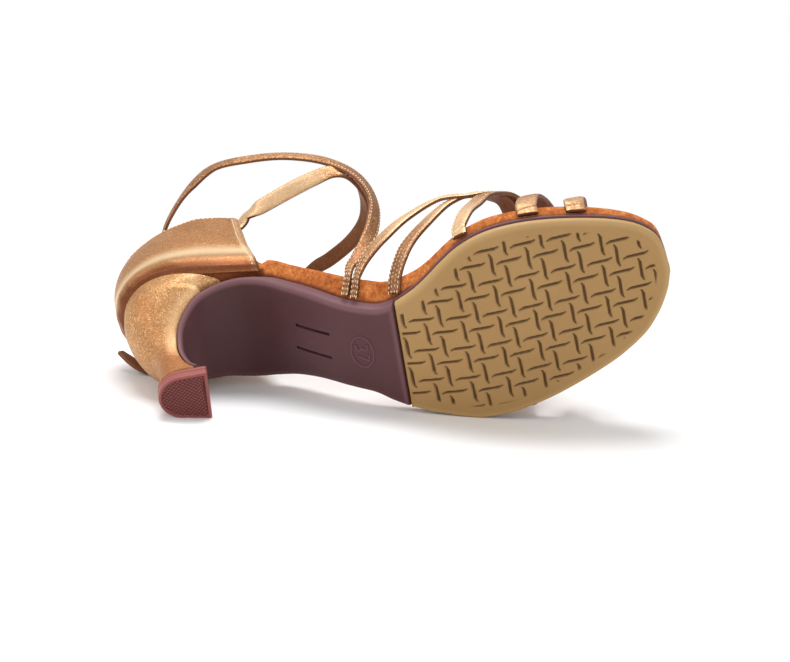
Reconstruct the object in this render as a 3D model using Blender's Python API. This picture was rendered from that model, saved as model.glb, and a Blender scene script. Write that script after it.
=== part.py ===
# Ballroom dance shoe for the left foot, strapped sandal, lying on its outer side.
# Every table is in millimetres in the standing frame: x from the back of the heel cup to the toe,
# y from the inner side to the outer side, z up from the floor under the heel tip and the ball.
# The last step turns the whole shoe onto its outer side.
import bpy
import bmesh
from math import cos, sin, pi
from mathutils import Vector, Matrix

MM = 0.001
FIT = 0.3
TREAD_THICK = 2.2
WELT_THICK = 1.3
WAIST_THICK = TREAD_THICK + FIT + WELT_THICK
FLAP_THICK = 2.0
WELT_LEDGE = 0.8
WAIST_LEAN = 1.0
TREAD_RIM = 1.3
BED_RIM = 0.8
PAD_BACK = 112.8
BALL_FROM = 100.0
WAIST_FRONT = 111.8
STEP_RUN = 0.2
COUNTER_WALL = 1.8
CUP_OUTER = 0.82
CUP_SKEW = 0.18
TUCK_FRONT = 120.0
HEEL_BOTTOM = 6.3
HEEL_FRONT = 46.0
STRAP_THICK = 1.4
STRAP_STEPS = 2
SLOT_WIDE = 1.0
SLOT_DEEP = 1.3
SLOT_FROM = 72.8
SLOT_TO = 85.2
SLOT_MIDS = (-4.8, 6.2)
BUCKLE_WIRE = 1.5
BUCKLE_LONG = 12.0
BUCKLE_WIDE = 11.5
PIN_WIDE = 1.2
BUCKLE_PLACE = (42.0, 27.4, 79.4)
BUCKLE_SLOPE = -0.57

# Underside of the sole from the toe tip back to the heel tip: its line and its two edges.
# Columns: x, z, inner edge, outer edge, crown of the underside, overhang of the footbed inside, outside.
SOLE = (
    (220.5, 0.0, -19.0, -13.0, 0.0, 2.0, 1.8),
    (219.5, 0.0, -25.4, -8.0, 0.0, 2.0, 1.6),
    (217.6, 0.0, -30.4, -3.0, 0.0, 1.9, 1.3),
    (215.0, 0.0, -33.8, 2.2, 0.0, 1.4, 0.9),
    (210.0, 0.0, -37.7, 9.3, 0.0, 1.2, 0.5),
    (204.0, 0.0, -40.5, 14.6, 0.0, 1.3, 0.2),
    (196.0, 0.0, -43.0, 20.0, 0.0, 1.6, 0.0),
    (186.0, 0.0, -45.2, 25.0, 0.0, 1.9, 0.0),
    (176.0, 0.0, -46.8, 29.2, 0.0, 2.0, 0.0),
    (166.0, 0.0, -47.6, 32.6, 0.0, 2.0, 0.0),
    (156.0, 0.0, -47.2, 34.9, 0.0, 2.0, 0.0),
    (148.0, 0.3, -45.5, 35.9, 0.0, 2.0, 0.0),
    (140.0, 1.2, -41.8, 36.1, 0.0, 2.1, 0.2),
    (133.0, 2.6, -36.2, 35.0, 0.0, 2.6, 0.4),
    (126.0, 4.4, -29.4, 33.3, 0.0, 3.4, 0.6),
    (120.0, 6.2, -24.1, 31.8, 0.0, 4.6, 0.8),
    (112.0, 8.8, -18.9, 28.9, 0.0, 6.2, 1.0),
    (106.0, 11.0, -16.6, 26.2, 0.5, 7.4, 1.2),
    (100.0, 13.6, -16.7, 22.9, 1.1, 7.8, 1.4),
    (94.0, 16.9, -17.4, 21.6, 1.8, 7.4, 1.4),
    (88.0, 21.0, -18.6, 20.8, 2.3, 6.6, 1.4),
    (79.0, 28.6, -20.4, 20.2, 2.6, 5.2, 1.4),
    (70.0, 36.8, -21.2, 21.4, 2.4, 4.6, 1.2),
    (62.0, 43.2, -21.9, 23.6, 1.6, 4.6, 0.4),
    (54.0, 46.3, -22.2, 24.4, 0.9, 0.8, 0.3),
    (47.0, 46.3, -21.9, 22.8, 0.4, 0.8, 0.3),
    (41.5, 45.1, -21.0, 20.8, 0.0, 0.6, 0.3),
    (36.5, 42.8, -19.8, 19.4, 0.0, 0.5, 0.3),
    (32.0, 38.8, -17.0, 16.8, 0.0, 0.5, 0.4),
    (28.6, 33.5, -13.4, 13.4, 0.0, 0.5, 0.4),
    (27.5, 28.0, -10.4, 10.4, 0.0, 0.5, 0.4),
    (27.7, 22.0, -8.6, 8.6, 0.0, 0.5, 0.4),
    (30.0, 14.5, -8.0, 8.0, 0.0, 0.5, 0.4),
    (33.2, 9.2, -8.8, 8.8, 0.0, 0.5, 0.4),
)
# The rows in front of the heel, where each x has one height.
FRONT_SOLE = SOLE[:24]

# Footbed at the heel cup, as wide as the cup in front of it. Columns: x, underside z, thickness.
SEAT = (
    (64.0, 47.6, 5.5),
    (63.4, 48.1, 5.6),
    (60.0, 50.5, 7.7),
    (56.0, 50.5, 7.8),
    (50.0, 50.4, 6.4),
    (44.0, 50.9, 5.3),
    (37.0, 52.0, 5.2),
    (29.0, 54.1, 5.1),
    (21.0, 56.2, 5.0),
    (14.0, 57.3, 5.0),
    (9.5, 57.6, 5.0),
    (6.5, 57.6, 5.0),
)
SEAT_FRONT = 63.6
BED_THICK = ((221.0, 4.8), (150.0, 5.2), (112.0, 5.8), (85.0, 6.4), (62.0, 5.4))

# Covered heel. Columns: z, back, widest half width, half width at the breast edge.
HEEL = (
    (HEEL_BOTTOM, 15.3, 9.6, 9.2),
    (9.0, 15.8, 9.1, 8.7),
    (13.0, 16.1, 8.8, 8.3),
    (17.0, 16.2, 8.7, 8.1),
    (22.0, 15.8, 9.1, 8.5),
    (27.0, 14.0, 10.4, 9.9),
    (32.0, 10.8, 13.2, 12.2),
    (36.5, 8.0, 16.8, 14.9),
    (40.5, 6.2, 20.2, 17.4),
    (43.5, 5.1, 22.8, 19.2),
    (46.0, 4.5, 24.6, 20.6),
    (48.4, 4.1, 25.7, 21.6),
)
HEEL_RIM = (3.9, 26.5, 22.4)
# Rubber tip under the heel. Columns: z, inset of the outline.
TIP = ((0.0, 0.6), (0.25, 0.25), (0.8, 0.0), (3.6, 0.0), (3.8, 0.25), (4.0, 0.0), (5.7, 0.1), (6.0, 0.3))
TIP_BACK = 15.4
TIP_FRONT = 35.4
TIP_HALF = 9.3
TIP_FLARE = 2.4
TIP_SLANT = -0.085

# Heel cup by share of its height. Columns: share, back, widest half width, half width and x at the front.
COUNTER = (
    (0.00, 3.4, 27.0, 24.8, 63.0),
    (0.10, 1.9, 27.9, 25.4, 61.9),
    (0.30, 0.4, 28.3, 26.0, 59.8),
    (0.50, -0.2, 28.0, 25.8, 58.0),
    (0.70, 0.2, 26.9, 24.9, 57.0),
    (0.86, 1.4, 25.6, 24.0, 56.4),
    (1.00, 2.9, 24.4, 23.4, 56.0),
)
# Upper and lower edge of the heel cup along the foot. Columns: x, top z, bottom z.
CUP_EDGES = (
    (-2.0, 91.4, 57.5),
    (6.0, 92.6, 57.4),
    (14.0, 94.2, 57.0),
    (22.0, 97.8, 55.7),
    (32.0, 102.8, 53.2),
    (38.0, 105.0, 51.8),
    (42.0, 104.6, 50.9),
    (50.0, 102.4, 49.6),
    (58.0, 98.6, 48.8),
    (64.0, 95.6, 47.6),
)

# Straps between their bases. Columns: x, y, z of the middle, outward direction x, y, z, width.
TOE_STRAP = (
    (188.4, -46.8, 13.6, 0.0, -1.0, 0.3, 8.0),
    (189.6, -43.6, 17.6, 0.0, -0.8, 0.6, 8.2),
    (190.5, -37.8, 22.6, 0.0, -0.6, 0.8, 8.2),
    (191.4, -26.0, 29.2, 0.0, -0.3, 1.0, 8.0),
    (191.0, -12.0, 32.5, 0.0, 0.0, 1.0, 8.0),
    (190.0, 3.0, 31.0, 0.0, 0.3, 1.0, 8.0),
    (188.5, 13.6, 25.5, 0.0, 0.7, 0.7, 8.0),
    (187.2, 21.0, 18.0, 0.0, 0.9, 0.4, 8.0),
    (186.4, 24.9, 12.6, 0.3, 0.9, 0.2, 8.0),
)
SECOND_STRAP = (
    (170.9, -49.8, 15.8, 0.0, -1.0, 0.3, 8.2),
    (172.5, -47.4, 21.4, 0.0, -0.9, 0.5, 8.2),
    (174.8, -43.0, 27.6, 0.0, -0.8, 0.6, 8.2),
    (178.0, -35.5, 35.4, 0.0, -0.6, 0.8, 8.2),
    (181.4, -25.5, 41.0, 0.0, -0.3, 1.0, 8.2),
    (183.6, -12.0, 44.0, 0.0, 0.0, 1.0, 8.2),
    (183.4, 2.0, 42.0, 0.0, 0.3, 1.0, 8.2),
    (181.0, 14.0, 35.0, 0.0, 0.7, 0.7, 8.2),
    (178.0, 24.0, 24.0, 0.0, 0.9, 0.4, 8.2),
    (176.0, 29.6, 12.8, 0.3, 0.9, 0.2, 8.2),
)
FAN_FRONT = (
    (146.6, -46.2, 20.0, -0.2, -1.0, 0.1, 6.4),
    (151.3, -43.0, 32.0, 0.0, -1.0, 0.2, 6.4),
    (156.5, -40.0, 43.0, 0.0, -0.9, 0.4, 6.4),
    (162.0, -36.0, 51.0, 0.1, -0.8, 0.5, 6.4),
    (168.0, -30.0, 58.5, 0.2, -0.7, 0.7, 6.4),
    (173.5, -20.0, 64.2, 0.2, -0.4, 0.9, 6.4),
    (176.2, -6.0, 66.6, 0.2, 0.0, 1.0, 6.4),
    (174.8, 9.0, 61.6, 0.1, 0.4, 0.9, 6.4),
    (170.0, 22.0, 48.5, 0.1, 0.8, 0.6, 6.4),
    (164.0, 31.5, 31.0, 0.0, 0.9, 0.3, 6.4),
    (160.2, 34.6, 15.0, 0.0, 1.0, 0.1, 6.4),
    (159.6, 35.1, 6.2, 0.0, 1.0, 0.0, 6.4),
)
FAN_MIDDLE = (
    (118.4, -29.4, 23.6, -0.2, -1.0, 0.0, 5.8),
    (122.9, -32.0, 31.4, -0.1, -1.0, 0.1, 6.0),
    (130.7, -35.0, 38.9, -0.2, -1.0, 0.2, 6.2),
    (141.6, -36.6, 49.6, -0.3, -0.9, 0.3, 6.2),
    (152.7, -36.4, 54.3, -0.2, -0.9, 0.5, 6.2),
    (161.0, -32.8, 56.4, 0.0, -0.8, 0.6, 6.2),
    (167.5, -24.5, 63.2, 0.1, -0.6, 0.8, 6.2),
    (171.6, -10.0, 66.8, 0.1, -0.1, 1.0, 6.2),
    (171.2, 5.0, 63.8, 0.1, 0.3, 1.0, 6.2),
    (166.8, 20.0, 53.0, 0.1, 0.7, 0.6, 6.2),
    (160.4, 31.5, 34.5, 0.0, 0.9, 0.3, 6.2),
    (156.2, 35.6, 17.0, 0.0, 1.0, 0.1, 6.2),
    (155.4, 36.1, 6.2, 0.0, 1.0, 0.0, 6.2),
)
FAN_BACK = (
    (103.2, -28.2, 28.6, -0.2, -1.0, -0.1, 4.2),
    (107.2, -30.4, 33.6, -0.1, -1.0, 0.0, 5.2),
    (113.4, -33.0, 39.0, -0.1, -1.0, 0.1, 6.0),
    (123.9, -35.2, 48.0, -0.2, -0.9, 0.2, 6.2),
    (139.0, -37.8, 54.0, -0.2, -0.9, 0.4, 6.2),
    (151.7, -38.2, 51.2, -0.1, -0.9, 0.5, 6.2),
    (160.0, -35.6, 54.0, 0.0, -0.8, 0.6, 6.2),
    (166.2, -28.0, 59.0, 0.0, -0.6, 0.8, 6.2),
    (168.4, -14.0, 64.6, 0.1, -0.2, 1.0, 6.2),
    (167.6, 2.0, 63.2, 0.1, 0.3, 1.0, 6.2),
    (163.0, 18.0, 54.0, 0.1, 0.7, 0.6, 6.2),
    (156.4, 31.0, 36.0, 0.0, 0.9, 0.3, 6.2),
    (152.2, 36.2, 18.0, 0.0, 1.0, 0.1, 6.2),
    (151.2, 36.8, 6.4, 0.0, 1.0, 0.0, 6.2),
)
ANKLE_OUTER = (
    (98.8, -26.8, 31.4, 0.0, -1.0, -0.2, 4.0),
    (102.4, -27.4, 37.0, 0.2, -1.0, -0.2, 5.2),
    (107.6, -30.0, 45.0, 0.4, -0.8, -0.3, 6.0),
    (111.0, -32.4, 53.0, 0.6, -0.6, -0.4, 6.2),
    (113.1, -34.6, 65.6, 0.8, -0.5, -0.4, 6.4),
    (111.3, -36.8, 80.6, 0.7, -0.6, -0.3, 6.4),
    (105.7, -38.5, 94.0, 0.5, -0.8, -0.1, 6.4),
    (95.1, -39.5, 107.0, 0.3, -1.0, 0.0, 6.4),
    (80.7, -40.0, 116.0, 0.1, -1.0, 0.1, 6.4),
    (65.7, -39.0, 121.8, -0.1, -1.0, 0.1, 6.4),
    (50.0, -36.0, 126.8, -0.2, -1.0, 0.1, 6.4),
    (38.8, -31.0, 123.0, -0.7, -0.6, -0.15, 6.4),
    (29.6, -25.0, 115.2, -0.9, -0.4, -0.05, 6.4),
    (23.4, -17.0, 110.5, -0.95, -0.25, 0.1, 6.4),
    (22.4, -7.0, 110.5, -0.8, 0.0, 0.6, 6.4),
    (22.0, 3.0, 107.5, -0.6, 0.3, 0.7, 6.4),
    (22.4, 12.0, 102.0, -0.4, 0.7, 0.6, 6.4),
    (23.0, 17.0, 94.0, -0.2, 1.0, 0.1, 6.4),
    (24.0, 18.6, 84.0, -0.1, 1.0, 0.0, 6.4),
)
ANKLE_INNER = (
    (47.0, -20.2, 92.0, 0.0, -1.0, 0.0, 6.4),
    (52.6, -20.1, 95.6, 0.0, -1.0, 0.0, 6.4),
    (56.6, -20.2, 98.8, 0.0, -1.0, 0.1, 6.0),
    (60.0, -22.8, 100.4, 0.1, -1.0, -0.05, 6.0),
    (63.4, -25.2, 99.6, 0.1, -0.9, -0.35, 6.2),
    (67.4, -27.2, 98.8, 0.0, -0.7, -0.7, 6.6),
    (80.3, -32.0, 99.0, 0.0, -0.6, -0.8, 6.8),
    (91.0, -36.2, 97.2, 0.1, -0.7, -0.7, 6.6),
    (99.0, -38.2, 96.0, 0.3, -0.8, -0.4, 6.4),
    (105.4, -36.2, 93.8, 0.7, -0.7, -0.1, 6.4),
    (109.4, -29.4, 90.4, 0.9, -0.2, 0.2, 6.4),
    (110.2, -21.0, 91.6, 0.9, 0.1, 0.5, 6.4),
    (107.9, -13.0, 92.6, 0.8, 0.2, 0.6, 6.4),
    (101.1, -5.0, 93.8, 0.5, 0.5, 0.7, 6.4),
    (91.4, 3.0, 97.5, 0.3, 0.6, 0.8, 6.4),
    (84.4, 8.0, 101.0, 0.2, 0.7, 0.7, 6.4),
    (73.0, 16.4, 100.6, 0.2, 0.9, 0.5, 6.4),
    (63.0, 22.6, 95.0, 0.1, 1.0, 0.2, 6.4),
    (54.0, 25.4, 88.0, 0.0, 1.0, 0.0, 6.4),
    (44.0, 25.6, 80.8, 0.0, 1.0, 0.0, 6.4),
    (32.0, 25.2, 73.0, 0.0, 1.0, 0.0, 6.4),
    (20.0, 24.6, 66.6, 0.0, 1.0, -0.1, 6.2),
    (11.8, 23.4, 64.6, -0.2, 1.0, -0.1, 6.0),
    (6.0, 21.2, 65.4, -0.4, 0.9, -0.1, 6.0),
    (1.4, 18.4, 69.0, -0.4, 0.9, -0.1, 5.6),
    (-3.0, 16.0, 74.2, -0.5, 0.9, -0.1, 3.0),
)

for old in list(bpy.data.objects):
    bpy.data.objects.remove(old, do_unlink=True)

scene = bpy.context.scene
shoe_parts = bpy.data.collections.new("ballroom_dance_shoe")
cutters = bpy.data.collections.new("cutters")
scene.collection.children.link(shoe_parts)
scene.collection.children.link(cutters)
standing = bpy.data.objects.new("standing_frame", None)
shoe_parts.objects.link(standing)


def material(name, colour, roughness, metallic):
    mat = bpy.data.materials.new(name)
    mat.use_nodes = True
    shader = mat.node_tree.nodes["Principled BSDF"]
    shader.inputs["Base Color"].default_value = (*colour, 1.0)
    shader.inputs["Roughness"].default_value = roughness
    shader.inputs["Metallic"].default_value = metallic
    return mat


def part_from(name, points, faces, mat, collection=shoe_parts):
    mesh = bpy.data.meshes.new(name)
    mesh.from_pydata([tuple(c * MM for c in p) for p in points], [], faces)
    work = bmesh.new()
    work.from_mesh(mesh)
    bmesh.ops.remove_doubles(work, verts=work.verts, dist=0.00001)
    bmesh.ops.triangulate(work, faces=work.faces)
    bmesh.ops.recalc_face_normals(work, faces=work.faces)
    work.to_mesh(mesh)
    work.free()
    obj = bpy.data.objects.new(name, mesh)
    obj.parent = standing
    mesh.materials.append(mat)
    collection.objects.link(obj)
    return obj


def column(rows, x, index):
    """Value of one table column at x, on straight lines between the rows."""
    ordered = sorted(rows)
    if x <= ordered[0][0]:
        return ordered[0][index]
    for low, high in zip(ordered, ordered[1:]):
        if x <= high[0]:
            share = (x - low[0]) / (high[0] - low[0])
            return low[index] + share * (high[index] - low[index])
    return ordered[-1][index]


def eased(rows, steps):
    """Rows with smooth in-between rows, passing through the given ones."""
    out = []
    last = len(rows) - 1
    for i in range(last):
        before, here, there, after = (rows[max(i - 1, 0)], rows[i], rows[i + 1], rows[min(i + 2, last)])
        for k in range(steps):
            t = k / steps
            row = []
            for a, b, c, d in zip(before, here, there, after):
                bend = 2 * b + (c - a) * t + (2 * a - 5 * b + 4 * c - d) * t * t
                row.append(0.5 * (bend + (3 * b - a - 3 * c + d) * t * t * t))
            out.append(tuple(row))
    out.append(tuple(rows[last]))
    return out


def skin(rings, close_ends=True):
    """Points and faces of a tube through closed rings that all have the same count."""
    count = len(rings[0])
    points = [p for ring in rings for p in ring]
    faces = []
    for r in range(len(rings) - 1):
        for k in range(count):
            n = (k + 1) % count
            faces.append((r * count + k, r * count + n, (r + 1) * count + n, (r + 1) * count + k))
    if close_ends:
        faces.append(tuple(range(count)))
        faces.append(tuple(range((len(rings) - 1) * count, len(rings) * count)))
    return points, faces


def lifts(line):
    """Unit directions square to a line in x and z, pointing to the foot side of the sole."""
    out = []
    last = len(line) - 1
    for i in range(last + 1):
        a, b = line[max(i - 1, 0)], line[min(i + 1, last)]
        run = Vector((a[0] - b[0], a[1] - b[1]))
        run.normalize()
        out.append((-run.y, run.x))
    return out


def slab_ring(row, lift, low, high, spread_low, spread_high, rim, crown):
    """Cross section of a sole layer between two offsets from the underside line."""
    x, z, inner, outer = row[:4]
    ring = []
    width = outer - inner
    rim = min(rim, 0.3 * width)

    def put(y, offset):
        ring.append((x + lift[0] * offset, y, z + lift[1] * offset))

    put(inner - spread_low[0], low + rim)
    put(inner - spread_low[0] + 0.3 * rim, low + 0.3 * rim)
    shares = (0.0, 0.25, 0.5, 0.75, 1.0)
    left = inner - spread_low[0] + rim
    right = outer + spread_low[1] - rim
    for share in shares:
        put(left + share * (right - left), low - crown * (1 - (2 * share - 1) ** 2))
    put(outer + spread_low[1] - 0.3 * rim, low + 0.3 * rim)
    put(outer + spread_low[1], low + rim)
    put(outer + spread_high[1], high - 0.25 * rim)
    put(outer + spread_high[1] - 0.6 * rim, high)
    put(inner - spread_high[0] + 0.6 * rim, high)
    put(inner - spread_high[0], high - 0.25 * rim)
    return ring


def at_line_end(rows, x):
    """The row of a table in falling x cut at x."""
    return (x,) + tuple(column(rows, x, k) for k in range(1, len(rows[0])))


def sole_rows(back, steps=2):
    """Rows of the sole from the toe back to x, with smooth rows between."""
    rows = [r for r in FRONT_SOLE if r[0] > back]
    return eased(rows + [at_line_end(FRONT_SOLE, back)], steps)


def cup_point(middle, back, half, angle, share):
    """Point of the round back, narrower on the outer side and set askew by a share."""
    x = middle - (middle - back) * cos(angle)
    y = half * sin(angle)
    if y > 0:
        y *= 1.0 + share * (CUP_OUTER - 1.0)
    return (x + share * CUP_SKEW * y * cos(angle), y)


def cup_outline(share, inset, count=17):
    """Level line round the heel cup, from the inner front edge to the outer one."""
    back, half, front_half, front = (column(COUNTER, share, k) for k in (1, 2, 3, 4))
    back, half, front_half = back + inset, half - inset, front_half - inset
    middle = back + half * 1.02
    line = []
    for k in range(4):
        t = k / 4
        line.append((front + (middle - front) * t, -(front_half + (half - front_half) * (2 * t - t * t))))
    for k in range(count):
        angle = -pi / 2 + pi * k / (count - 1)
        line.append(cup_point(middle, back, half, angle, 1.0))
    for k in range(3, -1, -1):
        t = k / 4
        wide = front_half + (half - front_half) * (2 * t - t * t)
        line.append((front + (middle - front) * t, wide * CUP_OUTER))
    return line


def cup_span(x, inset):
    """Inner and outer y of the heel cup's lower edge at x, or at its front."""
    line = cup_outline(0.0, inset)
    x = min(x, line[0][0])
    hits = []
    for (ax, ay), (bx, by) in zip(line, line[1:]):
        if ax != bx and min(ax, bx) <= x <= max(ax, bx):
            hits.append(ay + (by - ay) * (x - ax) / (bx - ax))
    return min(hits), max(hits)


tan_rubber = material("tan_tread_rubber", (0.434, 0.255, 0.098), 0.55, 0.0)
plum_rubber = material("plum_sole_rubber", (0.089, 0.037, 0.044), 0.5, 0.0)
tip_rubber = material("heel_tip_rubber", (0.205, 0.053, 0.046), 0.55, 0.0)
suede = material("orange_brown_suede", (0.604, 0.156, 0.032), 0.9, 0.0)
satin = material("bronze_satin", (0.578, 0.262, 0.114), 0.38, 0.35)
strap_satin = material("strap_bronze_satin", (0.533, 0.230, 0.095), 0.38, 0.35)
steel = material("buckle_steel", (0.62, 0.60, 0.57), 0.25, 1.0)

# Tread pad under the toes and the ball.
pad_rows = sole_rows(PAD_BACK)
rings = []
for row, lift in zip(pad_rows, lifts(pad_rows)):
    rings.append(slab_ring(row, lift, 0.0, TREAD_THICK, (0, 0), (0, 0), TREAD_RIM, 0.0))
forefoot_tread = part_from("forefoot_tread", *skin(rings), tan_rubber)

# Full length rubber outsole: thin over the pad, thick at the waist, thin down the heel breast.
front_rows = sole_rows(WAIST_FRONT + STEP_RUN)
back_rows = eased([at_line_end(FRONT_SOLE, WAIST_FRONT)] + [r for r in SOLE if r[0] < WAIST_FRONT], 2)
rings = []
welt_low = TREAD_THICK + FIT
ledge = (WELT_LEDGE, 0.4)
for row, lift in zip(front_rows, lifts(front_rows)):
    rings.append(slab_ring(row, lift, welt_low, WAIST_THICK, ledge, ledge, 0.35, 0.0))
flap_line = []
for row, lift in zip(back_rows, lifts(back_rows)):
    share = min(max((row[1] - 40.0) / 6.0, 0.0), 1.0) if row[0] > 50.0 else 1.0
    thick = WAIST_THICK + share * (FLAP_THICK - WAIST_THICK)
    fade = min(max((row[0] - 50.0) / 30.0, 0.0), 1.0)
    wide = (WAIST_LEAN * fade, 0.3 * fade)
    rim = min(TREAD_RIM, 0.6 * thick)
    rings.append(slab_ring(row, lift, 0.0, thick, (0, 0), wide, rim, row[4]))
    inside = thick + FIT
    flap_line.append((row[1] + lift[1] * inside, row[0] + lift[0] * inside))
outsole = part_from("outsole", *skin(rings), plum_rubber)

for number, mid in enumerate(SLOT_MIDS):
    slot_points = []
    for x in (SLOT_FROM, SLOT_TO):
        row = at_line_end(FRONT_SOLE, x)
        across = (2 * (mid - row[2]) / (row[3] - row[2])) - 1
        floor_z = row[1] - row[4] * (1 - across ** 2)
        for y in (mid - SLOT_WIDE / 2, mid + SLOT_WIDE / 2):
            slot_points.append((x, y, floor_z - 3.0))
            slot_points.append((x, y, floor_z + SLOT_DEEP * 1.3))
    slot_faces = [(0, 1, 3, 2), (4, 5, 7, 6), (0, 1, 5, 4), (2, 3, 7, 6), (0, 2, 6, 4), (1, 3, 7, 5)]
    slot = part_from("slot_cutter_%d" % number, slot_points, slot_faces, plum_rubber, cutters)
    slot.hide_render = True
    slot.display_type = "WIRE"
    cut = outsole.modifiers.new("slot_%d" % number, "BOOLEAN")
    cut.operation = "DIFFERENCE"
    cut.solver = "EXACT"
    cut.object = slot

# Footbed wrapped in suede, its side leaning outward from the sole edge.
bed_line = sole_rows(FRONT_SOLE[-1][0])
bed_low = WAIST_THICK + FIT


def bed_tuck(x):
    """How far the footbed's lower inner edge stands out from the sole edge."""
    fade = min(max((x - 50.0) / 30.0, 0.0), 1.0)
    return 0.5 + 1.0 * fade * (x < TUCK_FRONT)


rings = []
for row, lift in zip(bed_line, lifts(bed_line)):
    top = bed_low + column(BED_THICK, row[0], 1)
    rings.append(slab_ring(row, lift, bed_low, top, (bed_tuck(row[0]), 0.0), (row[5], row[6]), BED_RIM, 0.0))
for x, z, thick in eased(SEAT, 2):
    inset = 0.0 if x > SEAT_FRONT else COUNTER_WALL + FIT
    flat = (x, z) + cup_span(x, inset)
    rings.append(slab_ring(flat, (0, 1), 0.0, thick, (0, 0), (0, 0), BED_RIM, 0.0))
insole = part_from("insole", *skin(rings), suede)


def heel_ring(z, back, front, half, edge_half, share=0.0, slant=0.0, flare=0.0, count=9):
    """Closed outline with a straight breast and a round back, leaning like the heel cup by a share."""
    middle = back + min(half * 1.05, 0.62 * (front - back))
    ring = []
    for k in range(count * 2 - 1):
        angle = -pi / 2 + pi * k / (count * 2 - 2)
        ring.append(cup_point(middle, back, half, angle, share) + (z,))
    side = []
    for part in (0.35, 0.7, 1.0):
        x = middle + part * (front - middle)
        side.append((x, half + (edge_half - half) * part * part))
    outer = 1.0 + share * (CUP_OUTER - 1.0)
    for x, y in side:
        wide = y * outer + flare * (x - middle) / (front - middle)
        ring.append((x + slant * wide, wide, z))
    ring.append((front, 0.0, z))
    for x, y in reversed(side):
        ring.append((x - slant * y, -y, z))
    return ring


# Covered heel: the breast follows the inside of the sole flap, the top follows the heel cup.
breast = sorted(flap_line)
reach = [p for p in breast if p[1] < HEEL_FRONT]
rings = []
for z, back, half, edge_half in eased(HEEL, 2):
    front = column(reach, z, 1)
    share = min(max((z - 22.0) / 24.0, 0.0), 1.0)
    rings.append(heel_ring(z, back, front, half, edge_half, share))
below = rings[-1]
back, half, edge_half = HEEL_RIM
rim_ring = []
for x, y, z in heel_ring(0.0, back, HEEL_FRONT, half, edge_half, 1.0):
    rim_ring.append((x, y, column(CUP_EDGES, x, 2) - FIT - 0.4))
rings.append([tuple((p + q) / 2 for p, q in zip(a, b)) for a, b in zip(below, rim_ring)])
rings.append(rim_ring)
heel = part_from("heel", *skin(rings), satin)

rings = []
for z, inset in TIP:
    half = TIP_HALF - inset
    rings.append(heel_ring(z, TIP_BACK + inset, TIP_FRONT - inset, half, half, 0.0, TIP_SLANT, TIP_FLARE))
heel_tip = part_from("heel_tip", *skin(rings), tip_rubber)


levels = (0.0, 0.1, 0.22, 0.36, 0.52, 0.68, 0.84, 1.0)
rings = []
for inset in (0.0, COUNTER_WALL):
    for share in (levels if inset == 0.0 else levels[::-1]):
        line = cup_outline(share, inset)
        ring = []
        for x, y in line:
            low, high = column(CUP_EDGES, x, 2), column(CUP_EDGES, x, 1)
            ring.append((x, y, low + share * (high - low)))
        rings.append(ring)
points = [p for ring in rings for p in ring]
count = len(rings[0])
faces = []
for r in range(len(rings)):
    n = (r + 1) % len(rings)
    for k in range(count - 1):
        faces.append((r * count + k, r * count + k + 1, n * count + k + 1, n * count + k))
half_rings = len(levels)
for end in (0, count - 1):
    for r in range(half_rings - 1):
        a, b = r * count + end, (r + 1) * count + end
        c, d = (2 * half_rings - 2 - r) * count + end, (2 * half_rings - 1 - r) * count + end
        faces.append((a, b, c, d))
counter = part_from("heel_counter", points, faces, satin)


def side_spot(x, share, outer):
    """Point on the side of the footbed, from its lower to its upper edge."""
    row = at_line_end(bed_line, x)
    run = Vector((2.0, column(bed_line, x + 1.0, 1) - column(bed_line, x - 1.0, 1))).normalized()
    rise = bed_low + BED_RIM + share * (column(BED_THICK, x, 1) - 1.25 * BED_RIM)
    tuck = bed_tuck(x)
    y = row[3] + share * row[6] if outer else row[2] - tuck - share * (row[5] - tuck)
    return Vector((x - run.y * rise, y, row[1] + run.x * rise))


def strap_base(x, width, lift=0.0, outer=False):
    """Strap rows that climb the side of the footbed and lie against it."""
    rows = []
    for share in (0.0, 0.5, 1.0):
        here = side_spot(x, share, outer)
        run = side_spot(x + 1.0, share, outer) - side_spot(x - 1.0, share, outer)
        out = run.cross(side_spot(x, 1.0, outer) - side_spot(x, 0.0, outer)).normalized()
        if (out.y > 0) != outer:
            out = -out
        middle = here + out * (1.6 * FIT + STRAP_THICK / 2 - lift)
        rows.append((*middle, *out, width))
    return tuple(rows)


def bed_top(x):
    """Height up to which a strap keeps clear of the footbed."""
    slope = (column(FRONT_SOLE, x - 2.0, 1) - column(FRONT_SOLE, x + 2.0, 1)) / 4.0
    rise = WAIST_THICK + FIT + column(BED_THICK, x, 1)
    return column(FRONT_SOLE, x, 1) + rise * (1 + slope * slope) ** 0.5 + 2.0


def bed_side(x, reach):
    """Middle of a strap that runs up beside the outer side of the footbed."""
    spots = [x + reach * k / 4 for k in range(-6, 5)]
    return max(column(FRONT_SOLE, s, 3) + column(FRONT_SOLE, s, 6) for s in spots) + FIT + STRAP_THICK / 2


def ribbon(name, rows, mat, lift=0.0, collection=shoe_parts, beside=False):
    """Flat strap through the rows of its table, its faces square to the outward direction."""
    line = eased(rows, STRAP_STEPS)
    last = len(line) - 1
    rings = []
    for i, row in enumerate(line):
        a, b = line[max(i - 1, 0)], line[min(i + 1, last)]
        along = (Vector(b[:3]) - Vector(a[:3])).normalized()
        out = Vector(row[3:6]).normalized()
        across = along.cross(out).normalized()
        out = across.cross(along).normalized()
        middle = Vector(row[:3]) + out * lift
        if beside and middle.y > 0 and middle.z < bed_top(middle.x):
            middle.y = max(middle.y, bed_side(middle.x, row[6] / 2) + abs(lift) * out.y)
        w, t = row[6] / 2, STRAP_THICK / 2
        ring = []
        for u, v in ((-1, -0.5), (-0.9, -1), (0.9, -1), (1, -0.5), (1, 0.5), (0.9, 1), (-0.9, 1), (-1, 0.5)):
            ring.append(tuple(middle + across * (u * w) + out * (v * t)))
        rings.append(ring)
    return part_from(name, *skin(rings), mat, collection)


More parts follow.
